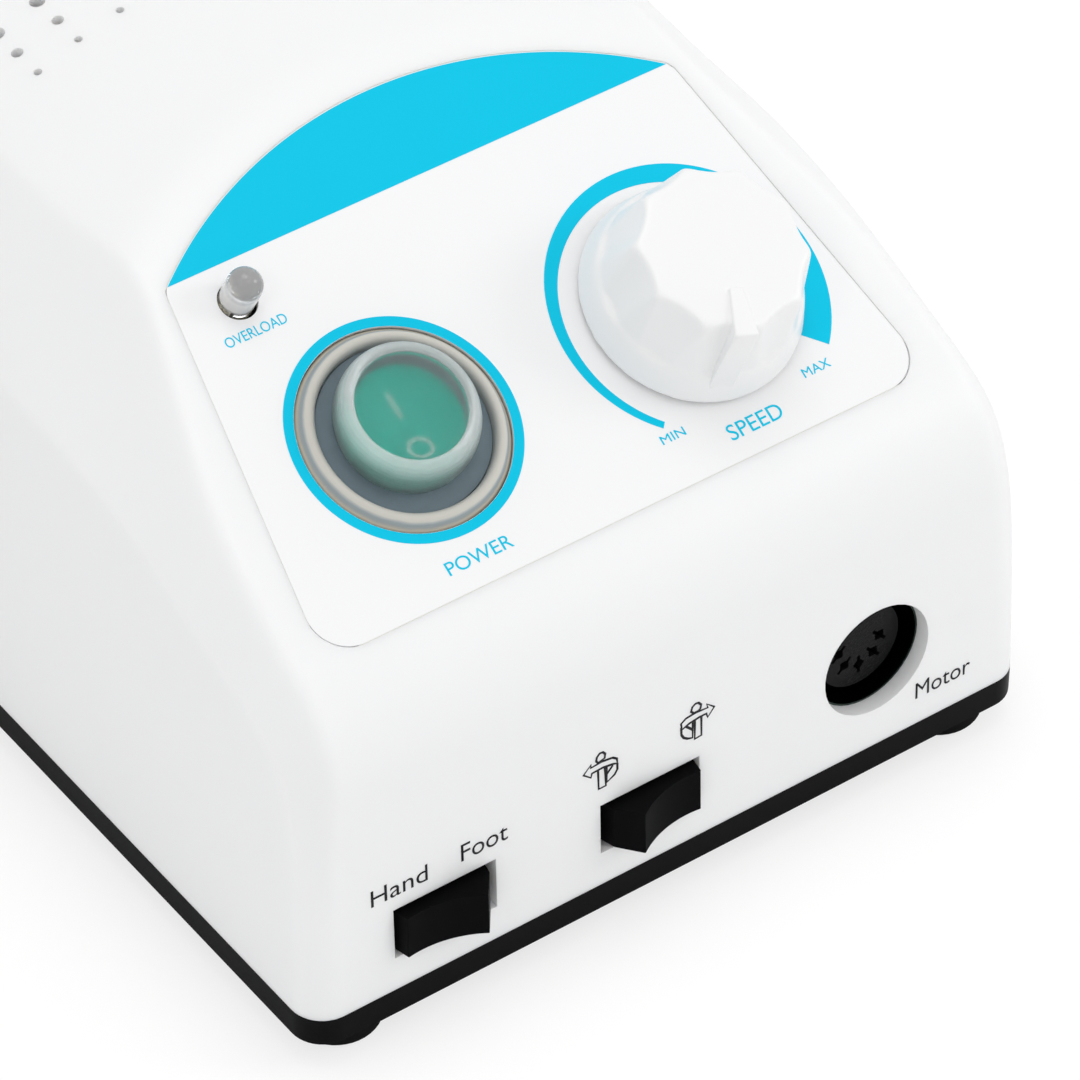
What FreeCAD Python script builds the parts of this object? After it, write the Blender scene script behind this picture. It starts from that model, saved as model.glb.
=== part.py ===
import FreeCAD, Part
import Sketcher
import math
import os
import re

# Nail drill control box, millimetres, +Z up. X = 0 is the middle plane, Z = 0 is the table,
# -Y is the front with the controls, and Y = 0 is halfway between the foremost and rearmost points.

doc = FreeCAD.newDocument("nail_drill_machine")
dims = doc.addObject("Spreadsheet::Sheet", "dims")

sizes = {
    # case
    "case_width": 120.0,
    "case_length": 190.0,
    "case_height": 90.0,
    "base_height": 4.5,
    "wall_thickness": 2.5,
    "side_draft": 1.1,
    "front_draft": 2.4,
    "slope_angle": 27.6,
    "slope_start": 50.3,
    "crown_radius": 146.0,
    "corner_radius": 5.0,
    "front_blend": 18.0,
    "crown_blend": 20.0,
    "rear_blend": 10.0,
    # shoulder band: inset of its upper edge and drop of its lower edge, from the front to the top
    "band_inset_foot": 1.2,
    "band_drop_foot": 0.8,
    "band_inset_front": 4.2,
    "band_drop_front": 3.4,
    "band_inset_bend": 5.0,
    "band_drop_bend": 6.4,
    "band_inset_low": 5.4,
    "band_drop_low": 8.0,
    "band_inset_mid": 7.6,
    "band_drop_mid": 10.0,
    "band_inset_high": 11.3,
    "band_drop_high": 13.4,
    "band_inset_top": 13.9,
    "band_drop_top": 17.4,
    "band_drop_back": 14.2,
    "band_rounding": 3.0,
    # vents of the top
    "vent_columns": 10,
    "vent_rows": 10,
    "vent_spacing": 7.3,
    "vent_pitch": 5.1,
    "vent_start": 105.3,
    "vent_bow": 180.0,
    "vent_radius": 1.4,
    "vent_small": 0.6,
    # base plate, feet and cover screws
    "floor_thickness": 2.5,
    "rim_width": 2.4,
    "tongue_height": 3.0,
    "tongue_width": 1.6,
    "tongue_gap": 0.3,
    "foot_height": 4.5,
    "foot_radius": 6.5,
    "foot_rounding": 1.5,
    "foot_inset_x": 9.0,
    "foot_inset_y": 8.0,
    "post_radius": 4.0,
    "post_inset": 10.0,
    "post_front": 28.0,
    "post_rear": 14.0,
    "screw_radius": 1.5,
    "screw_length": 12.0,
    "screw_head_radius": 2.8,
    "screw_head_height": 2.0,
    "screw_fit": 0.05,
    "pilot_spare": 0.5,
    "head_sink": 2.2,
    # control label
    "label_depth": 0.5,
    "label_thickness": 0.4,
    "label_gap": 0.15,
    "label_bottom": 13.1,
    "label_margin": 10.85,
    "label_taper": 0.15,
    "label_arc_radius": 66.8,
    "label_arc_centre": 14.4,
    "label_corner": 5.5,
    "label_top_corner": 3.0,
    # overload light
    "light_inset": 27.2,
    "light_up": 61.9,
    "light_radius": 2.5,
    "light_hole": 2.8,
    "light_shift": 0.2,
    "light_proud": 6.6,
    "light_length": 8.6,
    "light_flange": 2.9,
    "light_flange_height": 1.0,
    "light_clip_radius": 4.3,
    "light_clip_depth": 4.0,
    "light_lead": 0.25,
    "light_lead_gap": 1.27,
    "light_clip_bore": 2.0,
    "light_lead_length": 14.0,
    # power switch
    "power_inset": 37.9,
    "power_up": 36.6,
    "power_ring": 14.85,
    "power_recess": 1.5,
    "power_seat_radius": 17.0,
    "power_seat_depth": 4.0,
    "power_flange": 12.0,
    "power_flange_height": 1.2,
    "power_barrel": 10.0,
    "power_barrel_length": 22.0,
    "power_well": 8.75,
    "power_well_depth": 9.5,
    "power_hole_gap": 0.2,
    "power_nut_radius": 13.0,
    "power_nut_height": 3.0,
    "power_rocker_radius": 8.2,
    "power_rocker_rise": 3.0,
    "power_rocker_skirt": 3.0,
    "power_pivot_depth": 1.6,
    "power_pin_radius": 1.2,
    "power_pin_length": 0.9,
    "power_tilt": 8.0,
    "power_bead_radius": 14.5,
    "boot_radius": 9.95,
    "boot_top_radius": 8.8,
    "boot_window": 7.7,
    "boot_height": 5.8,
    "boot_wall": 0.8,
    "boot_sink": 0.8,
    "blade_width": 4.8,
    "blade_thickness": 0.8,
    "blade_length": 8.0,
    "blade_spacing": 6.0,
    # speed control
    "speed_inset": 36.0,
    "speed_up": 36.3,
    "knob_radius": 15.2,
    "knob_top_radius": 12.4,
    "knob_height": 15.0,
    "knob_dome": 0.4,
    "knob_gap": 0.5,
    "knob_lip": 1.1,
    "knob_wall": 1.7,
    "knob_boss_radius": 5.0,
    "knob_rounding": 1.3,
    "flute_count": 10,
    "flute_radius": 12.0,
    "flute_depth": 0.5,
    "flute_tilt": 14.5,
    "flute_start": 28.0,
    "pointer_angle": 249.6,
    "pointer_start": 6.3,
    "pointer_end": 13.2,
    "pointer_foot": 14.6,
    "pointer_foot_up": 3.3,
    "pointer_inner_width": 1.8,
    "pointer_outer_width": 3.3,
    "pointer_rise": 1.0,
    "pointer_soft": 0.35,
    "shaft_radius": 3.0,
    "shaft_fit": 0.05,
    "shaft_reach": 12.0,
    "shaft_depth": 5.4,
    "bushing_radius": 3.45,
    "bushing_reach": 4.2,
    "pot_radius": 12.0,
    "pot_depth": 9.0,
    "pot_hole": 3.55,
    "pot_tab_length": 6.0,
    "pot_tab_width": 2.4,
    "pot_tab_thickness": 0.8,
    "pot_washer_radius": 6.0,
    "pot_washer_height": 0.6,
    "pot_nut_flats": 10.0,
    "pot_nut_height": 2.0,
    # rocker switches of the front
    "hand_foot_inset": 21.65,
    "direction_offset": -4.8,
    "switch_rise": 9.95,
    "window_width": 16.5,
    "window_height": 8.6,
    "rocker_depth": 6.9,
    "rocker_tip": 5.75,
    "rocker_proud": 3.2,
    "rocker_pivot": 4.0,
    "rocker_flank": 24.0,
    "rocker_shoulder": 3.2,
    "rocker_skirt": 1.5,
    "rocker_dish": 1.1,
    "rocker_tilt": 13.0,
    "rocker_pin_radius": 1.0,
    "rocker_pin_length": 1.0,
    "rocker_side_gap": 0.25,
    "rocker_edge": 0.3,
    "pin_fit": 0.05,
    "switch_width": 19.6,
    "switch_height": 11.4,
    "switch_depth": 8.0,
    "switch_well_width": 16.8,
    "switch_well_depth": 5.4,
    "switch_pin_radius": 0.4,
    "switch_pin_spacing": 4.7,
    "switch_pin_length": 3.4,
    "switch_board_thickness": 1.6,
    "switch_board_height": 13.0,
    "switch_board_margin": 2.0,
    "switch_post_radius": 2.7,
    "switch_post_spacing": 7.8,
    "small_screw_radius": 1.2,
    "small_screw_length": 6.0,
    "small_head_radius": 2.2,
    "small_head_height": 1.6,
    # motor socket
    "socket_inset": 26.4,
    "socket_rise": 15.3,
    "socket_hole": 8.9,
    "socket_barrel": 10.2,
    "socket_bore": 8.6,
    "socket_depth": 11.5,
    "socket_back": 2.0,
    "socket_insert": 6.8,
    "socket_insert_depth": 4.0,
    "socket_flange_width": 37.0,
    "socket_flange_height": 21.0,
    "socket_flange_thickness": 2.0,
    "socket_screw_spacing": 31.0,
    "socket_post_radius": 3.0,
    "socket_post_depth": 6.0,
    "contact_circle": 3.5,
    "contact_radius": 0.7,
    "contact_slot": 3.0,
    "contact_cross": 1.8,
    "contact_slot_width": 0.5,
    "contact_slot_depth": 1.6,
    "contact_tail": 4.0,
    # control board
    "board_margin": 18.0,
    "board_length": 62.0,
    "board_thickness": 1.6,
    "board_front": 22.0,
    "board_lift": 6.0,
    "board_post_radius": 3.2,
    "board_post_inset": 4.0,
    "sink_margin": 17.0,
    "sink_depth": 18.0,
    "sink_height": 28.0,
    "sink_wall": 3.0,
    "sink_fins": 7,
    "sink_fin": 1.5,
    "sink_rear": 3.0,
    "sink_lift": 1.0,
    "transistor_width": 10.0,
    "transistor_thickness": 4.5,
    "transistor_height": 15.0,
    "transistor_spacing": 22.0,
    "transistor_lift": 5.0,
    "lead_width": 0.8,
    "lead_spacing": 2.54,
    "capacitor_radius": 8.0,
    "capacitor_height": 25.0,
    "capacitor_inset": 8.0,
    "capacitor_front": 22.0,
    "capacitor_spacing": 18.0,
    "rectifier_width": 20.0,
    "rectifier_thickness": 4.5,
    "rectifier_height": 14.0,
    "rectifier_x": 6.0,
    "rectifier_gap": 2.25,
    "rectifier_lift": 3.0,
    "relay_width": 19.0,
    "relay_length": 15.5,
    "relay_height": 15.0,
    "relay_inset": 16.0,
    "relay_front": 24.0,
    "header_width": 10.0,
    "header_length": 6.0,
    "header_height": 8.0,
    "header_wall": 0.8,
    "header_count": 5,
    "header_margin": 14.0,
    "header_front": 6.0,
    # transformer
    "core_width": 57.0,
    "core_gap": 3.0,
    "core_thickness": 28.0,
    "core_height": 47.5,
    "core_leg": 19.0,
    "core_window": 9.5,
    "core_lift": 3.0,
    "bobbin_wall": 1.0,
    "bobbin_overhang": 9.0,
    "bobbin_gap": 0.2,
    "winding_gap": 0.8,
    "winding_rounding": 4.0,
    "frame_thickness": 1.0,
    "frame_depth": 22.0,
    "frame_tab": 11.0,
    "frame_screw_inset": 4.5,
    "core_rib_width": 4.0,
    # rear connectors
    "rear_rise": 24.0,
    "inlet_inset": 30.0,
    "inlet_flange_width": 48.0,
    "inlet_flange_height": 22.5,
    "inlet_flange_thickness": 2.6,
    "inlet_corner": 3.0,
    "inlet_width": 27.4,
    "inlet_height": 19.8,
    "inlet_depth": 24.0,
    "inlet_well_width": 24.4,
    "inlet_well_height": 16.6,
    "inlet_well_depth": 17.0,
    "inlet_hole_gap": 0.3,
    "inlet_screw_spacing": 40.0,
    "inlet_pin_thickness": 2.0,
    "inlet_pin_height": 4.0,
    "inlet_pin_spacing": 14.0,
    "inlet_earth_offset": 4.0,
    "inlet_pin_recess": 3.0,
    "inlet_tail": 8.0,
    "inlet_tail_width": 6.3,
    "inlet_tail_thickness": 0.8,
    "hex_nut_flats": 5.5,
    "hex_nut_height": 2.4,
    "inlet_screw_length": 10.0,
    "fuse_gap": 4.5,
    "fuse_flange": 7.5,
    "fuse_flange_height": 2.0,
    "fuse_barrel": 6.0,
    "fuse_barrel_length": 29.0,
    "fuse_bore": 3.7,
    "fuse_end_wall": 2.0,
    "fuse_fit": 0.05,
    "fuse_nut_flats": 16.0,
    "fuse_nut_height": 3.0,
    "fuse_cap_radius": 5.8,
    "fuse_cap_proud": 9.5,
    "fuse_cap_gap": 0.1,
    "fuse_cap_stem": 3.0,
    "fuse_cap_slot": 1.2,
    "fuse_grip_count": 12,
    "fuse_grip_radius": 0.5,
    "fuse_radius": 2.6,
    "fuse_length": 20.0,
    "fuse_glass_radius": 2.4,
    "fuse_end_length": 5.0,
    "fuse_tag_length": 8.0,
    "fuse_side_tag_depth": 22.0,
    "jack_inset": 24.0,
    "jack_bushing": 4.7,
    "jack_proud": 4.0,
    "jack_bore": 3.25,
    "jack_body_width": 16.0,
    "jack_body_height": 16.0,
    "jack_depth": 24.0,
    "jack_nut_flats": 12.0,
    "jack_nut_height": 2.4,
    "hole_gap": 0.1,
    # inner wiring
    "wire_radius": 0.9,
    "wire_bend": 4.0,
    "wire_tight_bend": 2.4,
    "wire_pitch": 2.6,
    "wire_drop": 8.0,
    "wire_fall": 6.0,
    "wire_turn": 4.0,
    "wire_side": 16.0,
    "wire_lane_step": 5.0,
    "wire_high": 56.0,
    "wire_front": 62.0,
    "wire_over": 47.0,
    "wire_arch": 36.0,
    "wire_arch_step": 3.0,
}
for row, (name, size) in enumerate(sizes.items(), start=1):
    dims.set(f"A{row}", name)
    dims.set(f"B{row}", str(size))
    dims.setAlias(f"B{row}", name)
doc.recompute()

# Places worked out from the sizes
SEAM = "(foot_height + base_height)"
FLOOR = "(foot_height + floor_thickness)"
REACH = (
    "((rocker_proud + rocker_pivot) * cos(rocker_tilt * 1deg) + rocker_tip * sin(rocker_tilt * 1deg)"
    " - rocker_pivot - switch_rise * tan(front_draft * 1deg))"
)
FRONT = f"((-case_length - fuse_cap_proud + {REACH}) / 2)"
REAR = f"({FRONT} + case_length)"
SLOPE = "(foot_height + slope_start)"
POST_X = "(case_width / 2 - post_inset)"
LABEL_HALF = "(case_width / 2 - label_margin)"
LIGHT_X = "(light_inset - case_width / 2)"
LIGHT_SHOULDER = "(light_proud - light_length + light_flange_height)"
POWER_X = "(power_inset - case_width / 2)"
SPEED_X = "(case_width / 2 - speed_inset)"
HAND_FOOT_X = "(hand_foot_inset - case_width / 2)"
DIRECTION_X = "(direction_offset)"
SOCKET_X = "(case_width / 2 - socket_inset)"
BOARD_WIDTH = "(case_width - 2 * board_margin)"
SINK_WIDTH = f"({BOARD_WIDTH} - 2 * sink_margin)"
CAPACITOR_X = f"({BOARD_WIDTH} / 2 - capacitor_inset)"
RELAY_X = f"(relay_inset - {BOARD_WIDTH} / 2)"
FRAME_SCREW_X = "(core_width / 2 + frame_tab - frame_screw_inset)"
INLET_X = "(case_width / 2 - inlet_inset)"
FUSE_X = f"({INLET_X} - inlet_flange_width / 2 - fuse_gap - fuse_flange)"
JACK_X = "(jack_inset - case_width / 2)"
WIRE_LANE = "(case_width / 2 - wire_side)"


def value(name):
    return float(dims.get(name))


def formula(text):
    """The formula with every word that is a size led to that size."""
    return re.sub(r"[a-z]+(?:_[a-z0-9]+)+", r"dims.\g<0>", str(text))


def bind(item, **properties):
    for name, text in properties.items():
        item.setExpression(name, formula(text))


def spot(x=0, y=0, z=0, axis=(0, 0, 1), angle=0):
    """Text of a placement: a point, then a turn about an axis through it."""
    turn = f"rotation(vector({axis[0]}; {axis[1]}; {axis[2]}); {angle})"
    return f"placement(vector({x}; {y}; {z}); {turn})"


def place(item, *spots):
    item.setExpression("Placement", formula(" * ".join(spots or (spot(),))))


# Faces that carry the controls: x across, y up along the face, z straight out of it
PANEL = spot(0, FRONT, SLOPE, (1, 0, 0), "slope_angle")
FRONT_FACE = spot(0, FRONT, SEAM, (1, 0, 0), "(90 - front_draft)")
REAR_FACE = spot(0, REAR, SEAM, (0, 1, 1), 180)


def block(name, width, depth, height, *where):
    """Box centred in x and y that stands on z = 0 of its place."""
    item = doc.addObject("Part::Box", name)
    bind(item, Length=width, Width=depth, Height=height)
    place(item, *where, spot(f"-({width}) / 2", f"-({depth}) / 2"))
    return item


def rod(name, radius, height, *where):
    item = doc.addObject("Part::Cylinder", name)
    bind(item, Radius=radius, Height=height)
    place(item, *where)
    return item


def hexagon(name, flats, height, *where):
    item = doc.addObject("Part::Prism", name)
    item.Polygon = 6
    bind(item, Circumradius=f"({flats}) / 2 / cos(30deg)", Height=height)
    place(item, *where)
    return item


def cut(name, base, *tools):
    item = doc.addObject("Part::Cut", name)
    item.Base = base
    item.Tool = tools[0] if len(tools) == 1 else join(f"{name}_tools", *tools)
    return item


def join(name, *pieces):
    item = doc.addObject("Part::MultiFuse", name)
    item.Shapes = list(pieces)
    return item


def common(name, *pieces):
    item = doc.addObject("Part::MultiCommon", name)
    item.Shapes = list(pieces)
    return item


def group(name, *pieces):
    """Separate solids that share one node."""
    item = doc.addObject("Part::Compound", name)
    item.Links = list(pieces)
    return item


def middle(edge):
    return edge.valueAt((edge.FirstParameter + edge.LastParameter) / 2)


def upright(edge):
    return abs(edge.tangentAt(edge.FirstParameter).z) > 0.9


def soften(name, base, radius_of):
    """Fillet: radius_of gives the radius of each edge, or 0 for an edge that stays sharp."""
    doc.recompute()
    item = doc.addObject("Part::Fillet", name)
    item.Base = base
    radii = [(number, radius_of(edge)) for number, edge in enumerate(base.Shape.Edges, start=1)]
    item.Edges = [(number, radius, radius) for number, radius in radii if radius > 0]
    return item


def outline(body, name, plane, points):
    """Closed sketch of straight lines through points, each given as a pair of formulas."""
    sketch = body.newObject("Sketcher::SketchObject", name)
    base = [face for face in body.Origin.OriginFeatures if face.Role == plane][0]
    sketch.AttachmentSupport = [(base, "")]
    sketch.MapMode = "FlatFace"
    count = len(points)
    turn = 2 * math.pi / count
    ring = [FreeCAD.Vector(10 * math.cos(turn * k), 10 * math.sin(turn * k), 0) for k in range(count)]
    for k in range(count):
        sketch.addGeometry(Part.LineSegment(ring[k], ring[(k + 1) % count]), False)
    for k in range(count):
        sketch.addConstraint(Sketcher.Constraint("Coincident", k, 2, (k + 1) % count, 1))
    for k, (x, y) in enumerate(points):
        for kind, text in (("DistanceX", x), ("DistanceY", y)):
            number = sketch.addConstraint(Sketcher.Constraint(kind, -1, 1, k, 1, 1.0))
            sketch.setExpression(f"Constraints[{number}]", formula(text))
    return sketch


def turned(name, points):
    """Body turned about z from an outline of (radius, height) points."""
    body = doc.addObject("PartDesign::Body", name)
    sketch = outline(body, f"{name}_profile", "XZ_Plane", points)
    doc.recompute()
    turn = body.newObject("PartDesign::Revolution", f"{name}_turn")
    turn.Profile = sketch
    turn.ReferenceAxis = (sketch, ["V_Axis"])
    turn.Angle = 360
    return body


def extruded(name, plane, points, length):
    """Body pushed out both ways from an outline."""
    body = doc.addObject("PartDesign::Body", name)
    sketch = outline(body, f"{name}_profile", plane, points)
    doc.recompute()
    pad = body.newObject("PartDesign::Pad", f"{name}_pad")
    pad.Profile = sketch
    pad.Midplane = True
    bind(pad, Length=length)
    return body


def pan_screw(name, radius, length, head_radius, head_height, *where):
    """Pan head screw with a cross recess: head above z = 0, shank below it."""
    shank = rod(f"{name}_shank", radius, length, spot(0, 0, f"-({length})"))
    head = rod(f"{name}_head", head_radius, head_height)
    whole = join(f"{name}_blank", shank, head)
    slots = []
    for turn in (0, 90):
        slots.append(block(f"{name}_slot_{turn}", f"{head_radius} * 1.2", f"{head_radius} * 0.28",
                           head_height, spot(0, 0, f"{head_height} * 0.45", angle=turn)))
    item = cut(name, whole, *slots)
    place(item, *where)
    return item


def case_form(name, inset, low):
    """Drafted block with the sloped front and the crowned top, its three cross edges blended."""
    form = doc.addObject("Part::Wedge", f"{name}_block")
    top = "case_height"
    low_side = f"({inset} + ({low}) * tan(side_draft * 1deg))"
    top_side = f"({inset} + {top} * tan(side_draft * 1deg))"
    low_front = f"({FRONT} + {inset} + ({low}) * tan(front_draft * 1deg))"
    top_front = f"({FRONT} + {inset} + {top} * tan(front_draft * 1deg))"
    bind(form, Ymin=low, Ymax=top,
         Xmin=f"{low_side} - case_width / 2", Xmax=f"case_width / 2 - {low_side}",
         X2min=f"{top_side} - case_width / 2", X2max=f"case_width / 2 - {top_side}",
         Zmin=f"{inset} - {REAR}", Z2min=f"{inset} - {REAR}", Zmax=f"-{low_front}", Z2max=f"-{top_front}")
    place(form, spot(0, 0, SEAM, (1, 0, 0), 90))
    above = block(f"{name}_slope", "2 * case_width", "4 * case_length", "2 * case_height",
                  PANEL, spot(0, 0, f"-({inset})"))
    crown = rod(f"{name}_crown", f"crown_radius - ({inset})", "4 * case_length",
                spot(0, "-2 * case_length", "foot_height + case_height - crown_radius", (1, 0, 0), -90))
    sloped = cut(f"{name}_sloped", form, above)
    crowned = common(f"{name}_crowned", sloped, crown)
    doc.recompute()
    across = [edge for edge in crowned.Shape.Edges
              if abs(middle(edge).x) < 1 and middle(edge).z > value("slope_start") * 0.7]
    across.sort(key=lambda edge: middle(edge).y)
    thickness = value("wall_thickness") if inset == "wall_thickness" else 0.0
    blends = (value("front_blend") - thickness, value("crown_blend") - thickness,
              value("rear_blend") - thickness)

    def blend_of(edge):
        for line, radius in zip(across, blends):
            if edge.isSame(line):
                return radius
        return 0

    return soften(f"{name}_blended", crowned, blend_of)


def band_stations():
    """Points of the shoulder band's upper edge, the inward normal there, its inset and its drop."""
    draft = math.radians(value("front_draft"))
    slope = math.radians(value("slope_angle"))
    seam = doc.getObject("case_block").Placement.Base.z
    front_y = -float(doc.getObject("case_block").Zmax)
    start = value("foot_height") + value("slope_start")
    top = value("foot_height") + value("case_height") - (
        value("crown_radius") -
        math.sqrt(value("crown_radius") ** 2 - (value("case_width") / 2 - 14) ** 2))
    run = (top - start) / math.sin(slope)

    def on_front(share, name):
        height = seam + (start - seam) * share
        return (front_y + (height - seam) * math.tan(draft), height, 1, 0, name)

    def on_slope(share, name):
        along = run * share
        return (front_y + along * math.cos(slope), start + along * math.sin(slope),
                math.sin(slope), -math.cos(slope), name)

    def on_top(y):
        return (front_y + y, top, 0, -1)

    bend_y = front_y + (start - seam) * math.tan(draft) / (1 - math.tan(draft) * math.tan(slope))
    bend_z = start + (bend_y - front_y) * math.tan(slope)
    normal = FreeCAD.Vector(0, math.cos(draft) + math.sin(slope), -math.sin(draft) - math.cos(slope))
    normal.normalize()
    half = (math.pi / 2 - draft - slope) / 2
    sink = value("front_blend") * (1 / math.cos(half) - 1)
    foot, face = on_front(0.16, "foot"), on_front(0.64, "front")
    bend = (bend_y + normal.y * sink, bend_z + normal.z * sink, normal.y, normal.z, "bend")
    low = on_slope(0.32, "low")
    mid = on_slope(0.58, "mid")
    high = on_slope(0.78, "high")
    rows = [(*row[:4], value(f"band_inset_{row[4]}"), value(f"band_drop_{row[4]}"))
            for row in (foot, face, bend, low, mid, high)]
    inset, drop, back = value("band_inset_top"), value("band_drop_top"), value("band_drop_back")
    length = value("case_length")
    for share, depth in ((0.40, drop), (0.50, back + (drop - back) * 0.4), (0.68, back), (1.06, back)):
        rows.append((*on_top(length * share), inset, depth))
    return rows, seam


def band_cutter(name, inset):
    """Solid outside one leaning shoulder band: a ruled face between its two edges, pushed outwards."""
    rows, seam = band_stations()
    draft = math.tan(math.radians(value("side_draft")))
    half_width = value("case_width") / 2
    lower, upper = [], []
    for y, z, in_y, in_z, across, down in rows:
        span = math.hypot(across, down)
        shift_x = inset * down / span
        shift_in = inset * across / span
        edge_z = z + in_z * down
        low = FreeCAD.Vector(half_width - (edge_z - seam) * draft - shift_x,
                             y + in_y * (down + shift_in), edge_z + in_z * shift_in)
        high = FreeCAD.Vector(half_width - (z - seam) * draft - across - shift_x,
                              y + in_y * shift_in, z + in_z * shift_in)
        along = high - low
        along.normalize()
        lower.append(low - along * 6)
        upper.append(high + along * 8)
    steps = [0.0]
    for k in range(1, len(rows)):
        centre = (lower[k] + upper[k]) * 0.5
        before = (lower[k - 1] + upper[k - 1]) * 0.5
        steps.append(steps[-1] + centre.distanceToPoint(before))
    edges = []
    for points in (lower, upper):
        line = Part.BSplineCurve()
        line.interpolate(Points=points, Parameters=steps)
        edges.append(line.toShape())
    solid = Part.makeRuledSurface(*edges).extrude(FreeCAD.Vector(20, -6, 10))
    if solid.Volume < 0:
        solid.reverse()
    right = doc.addObject("Part::Feature", f"{name}_right")
    right.Shape = solid
    left = doc.addObject("Part::Mirroring", f"{name}_left")
    left.Source = right
    left.Normal = FreeCAD.Vector(1, 0, 0)
    return right, left


def rounded_box(name, width, depth, height, radius, *where):
    """Box with rounded upright edges."""
    plain = block(f"{name}_plain", width, depth, height)
    item = soften(name, plain, lambda edge: radius if upright(edge) else 0)
    place(item, *where)
    return item


sub_parts = []


def keep(*items):
    sub_parts.extend(items)


CASE_MIDDLE = f"({FRONT} + case_length / 2)"


def label_form(name, gap, thickness):
    """Label outline: level bottom edge, two leaning sides and an arched top."""
    sheet = doc.addObject("Part::Wedge", f"{name}_sheet")
    low, top = f"(label_bottom - {gap})", "(label_arc_centre + label_arc_radius + 5)"
    half_low = f"({LABEL_HALF} + {gap})"
    half_top = f"({half_low} - label_taper * ({top} - {low}))"
    bind(sheet, Ymin=low, Ymax=top,
         Xmin=f"-{half_low}", Xmax=half_low, X2min=f"-{half_top}", X2max=half_top,
         Zmin=0, Z2min=0, Zmax=thickness, Z2max=thickness)
    arch = rod(f"{name}_arch", f"label_arc_radius + {gap}", thickness, spot(0, "label_arc_centre"))
    plain = common(f"{name}_plain", sheet, arch)
    split = value("label_arc_centre") + value("label_bottom")
    corners = (value("label_corner"), value("label_top_corner"))

    def corner_of(edge):
        if not upright(edge) or abs(middle(edge).x) < value("case_width") / 4:
            return 0
        return corners[0] if middle(edge).y < split else corners[1]

    return soften(name, plain, corner_of)


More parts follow.
